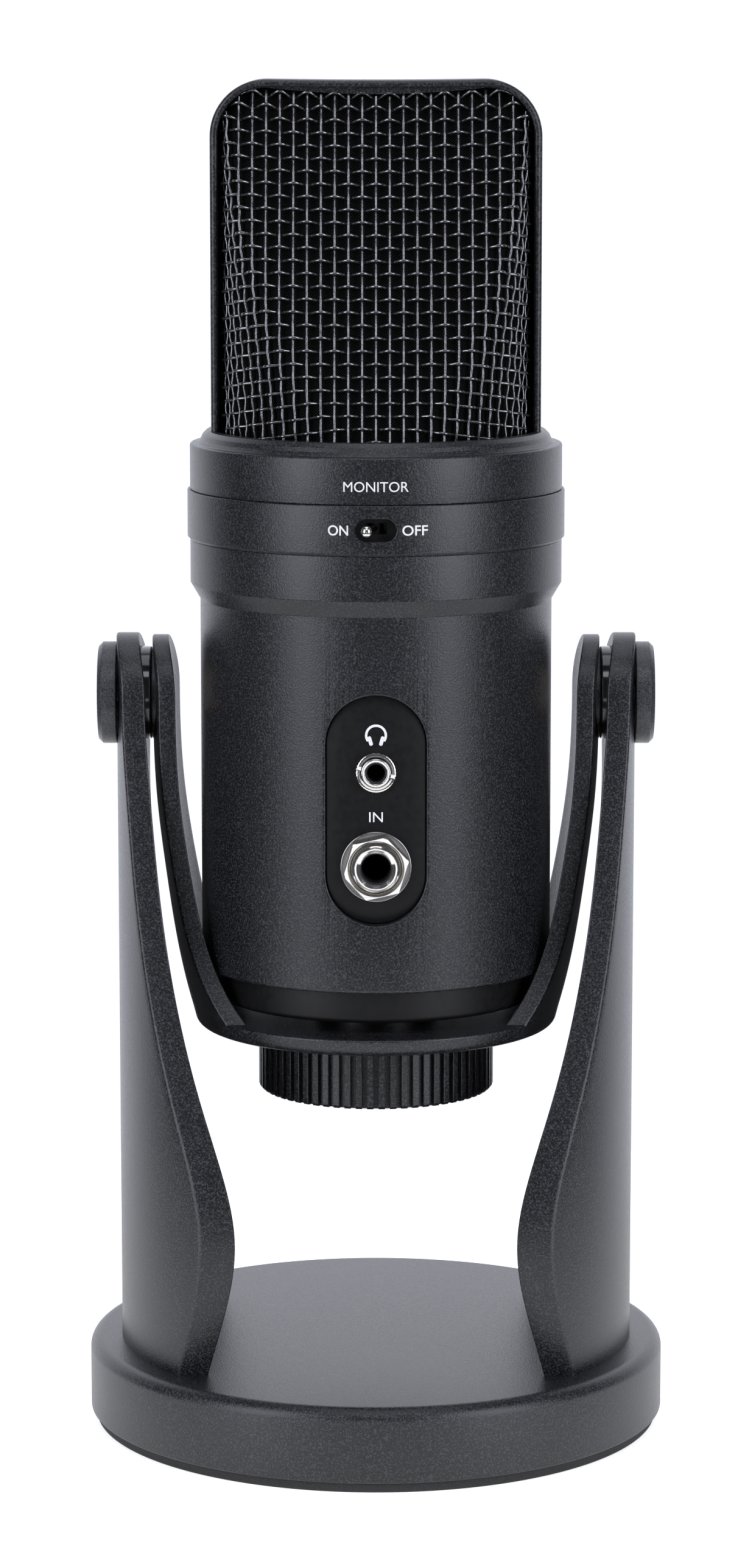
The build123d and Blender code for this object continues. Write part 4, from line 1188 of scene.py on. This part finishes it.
def headphone_sign():
    """Headphone sign: an arch with two ear cups that lean inward."""
    turn = np.radians(np.linspace(-35, 215, 60))
    circle = np.stack((np.cos(turn), np.sin(turn)), -1)
    parts = [np.concatenate((2.2 * circle, 1.72 * circle[::-1]))]
    cup = rounded([(-0.37, -0.95, 0.3), (0.37, -0.95, 0.3), (0.37, 0.95, 0.3), (-0.37, 0.95, 0.3)])
    for side in (-1, 1):
        parts.append(cup @ rotation(-16.7 * side) + (side * 1.16, -1.12))
    points, faces = [], []
    for outline, depth in zip(parts, (0.45, 0.5, 0.5)):
        near = [len(points) + k for k in range(len(outline))]
        far = [k + len(outline) for k in near]
        points += [(x, y, z) for z in (-depth, depth) for x, y in outline]
        faces += [near, far[::-1]]
        faces += zip(near, near[1:] + near[:1], far[1:] + far[:1], far)
    mesh = bpy.data.meshes.new("legend_headphones")
    mesh.from_pydata(points, [], faces)
    printed("legend_headphones", mesh, 0.0, 149.0, (4.4, 4.3), None)


# ---- far side ----------------------------------------------------------------
def carried_over():
    """Procedural finishes for the CAD nodes that are shown as they are."""
    shown = {
        "black_plastic": ["control_panel", "head_floor", "chassis"],
        "knob_plastic": ["volume_knob", "mic_level_knob", "instrument_level_knob", "pattern_slider"],
        "button_plastic": ["mute_button"],
        "switch_plastic": ["monitor_switch_body", "mute_switch_body", "pattern_switch_body",
                           "potentiometers"],
        "soft_rubber": ["capsule_mount"],
        "steel": ["base_weight", "arm_screws", "weight_screws", "boss_screws", "chassis_screws",
                  "pivot_bolt_left", "pivot_bolt_right", "mount_boss"],
        "nickel": ["usb_socket"],
        "brass": ["pivot_insert_left", "pivot_insert_right"],
        "capsule_gold": ["capsule_front", "capsule_rear"],
        "capsule_band": ["capsule_ring"],
        "circuit_board": ["jack_board", "control_board", "main_board", "usb_board"],
        "light_guide": ["status_light"],
    }
    for slot, nodes in shown.items():
        for node in nodes:
            made = frame["nodes"][node]
            made.data.materials.clear()
            made.data.materials.append(MATERIALS[slot])


# ---- stage -------------------------------------------------------------------
def floor():
    """Pale floor under the object."""
    mesh = bpy.data.meshes.new("floor")
    sides = 96
    turn = FLOOR_REACH * np.exp(2j * math.pi * np.arange(sides) / sides)
    mesh.from_pydata([(spot.real, spot.imag, 0) for spot in turn], [], [tuple(range(sides))])
    made = linked("floor", mesh)
    pale = bpy.data.materials.new("pale_floor")
    pale.use_nodes = True
    shader = pale.node_tree.nodes["Principled BSDF"]
    shader.inputs["Base Color"].default_value = (0.9, 0.9, 0.9, 1)
    shader.inputs["Roughness"].default_value = 0.9
    shader.inputs["Emission Color"].default_value = (1, 1, 1, 1)
    shader.inputs["Emission Strength"].default_value = 0.66
    mesh.materials.append(pale)


def softbox(name, place_at, look_at, size, radiance):
    """Rectangular studio light; radiance is how bright its face is."""
    light = bpy.data.lights.new(name, "AREA")
    light.shape = "RECTANGLE"
    light.size, light.size_y = size
    light.color = COOL_WHITE
    light.energy = radiance * math.pi * size[0] * size[1]
    made = linked(name, light)
    made.location = place_at
    made.rotation_euler = (Vector(look_at) - Vector(place_at)).to_track_quat("-Z", "Y").to_euler()
    made.visible_camera = False


def surroundings():
    """White for the camera; for the light, a pale wall behind the object in a dim room."""
    world = bpy.data.worlds.new("studio")
    world.use_nodes = True
    nodes, links = world.node_tree.nodes, world.node_tree.links
    background = nodes["Background"]
    background.inputs["Color"].default_value = (*COOL_WHITE, 1)
    direction = nodes.new("ShaderNodeTexCoord").outputs["Generated"]
    split = nodes.new("ShaderNodeSeparateXYZ")
    wall = nodes.new("ShaderNodeMapRange")
    wall.interpolation_type = "SMOOTHSTEP"
    wall.inputs["From Min"].default_value = 0.3
    wall.inputs["From Max"].default_value = 0.7
    wall.inputs["To Min"].default_value = ROOM_LEVEL
    wall.inputs["To Max"].default_value = WALL_LEVEL
    links.new(direction, split.inputs[0])
    links.new(split.outputs["Y"], wall.inputs["Value"])
    camera_ray = nodes.new("ShaderNodeLightPath").outputs["Is Camera Ray"]
    level = nodes.new("ShaderNodeMix")
    level.inputs["B"].default_value = 1.1
    links.new(camera_ray, level.inputs["Factor"])
    links.new(wall.outputs["Result"], level.inputs["A"])
    links.new(level.outputs["Result"], background.inputs["Strength"])
    bpy.context.scene.world = world
    bpy.context.scene.view_settings.view_transform = "Standard"


def studio():
    """A card lying in front, a tall softbox on each side, two above, and the pale wall."""
    target = (0, 0, 0.15)
    softbox("bounce_card", (0, -0.82, 0.002), (0, -0.82, 1), (0.12, 0.45), 2.2)
    for side in (-1, 1):
        softbox("side_light", (side * 0.9, -0.85, 0.42), target, (0.55, 1.25), 5.3)
    softbox("top_light", (0.0, 0.1, 1.3), target, (0.7, 0.7), 2.0)
    softbox("front_top_light", (0.0, -0.75, 1.15), target, (0.5, 0.3), 4.5)
    surroundings()


def camera():
    """Camera in front of the jack panel, a little above, looking slightly down."""
    data = bpy.data.cameras.new("camera")
    data.sensor_width = 36
    data.lens = CAMERA_LENS
    made = linked("camera", data)
    made.location = CAMERA_AT
    made.rotation_euler = (math.radians(CAMERA_PITCH), 0, 0)
    bpy.context.scene.camera = made


base_plate()
base_foot()
for way, label in ((-1, "left"), (1, "right")):
    stand_arm(way, label)
    pivot_knob(way, label)
    pivot_washer(way, label)
yoke()
ring_nut()
cap()
main_shell()
middle_band()
top_band()
front_plate()
instrument_socket()
headphone_socket()
flat_washer()
hex_nut()
knurled_nut()
monitor_lever()
hoop()
grille("front", 1)
grille("rear", -1)
lettering("legend_monitor", "MONITOR", 0.0, 199.0, (12.9, 2.0), COLLAR_R, 0.0)
lettering("legend_on", "ON", -7.5, SWITCH_Z, (4.0, 2.05), MID_RING_R, 0.012)
lettering("legend_off", "OFF", 7.72, SWITCH_Z, (5.05, 2.05), MID_RING_R, 0.012)
lettering("legend_in", "IN", 0.0, 132.4, (2.75, 2.0), None, 0.0)
headphone_sign()
carried_over()
floor()
studio()
camera()
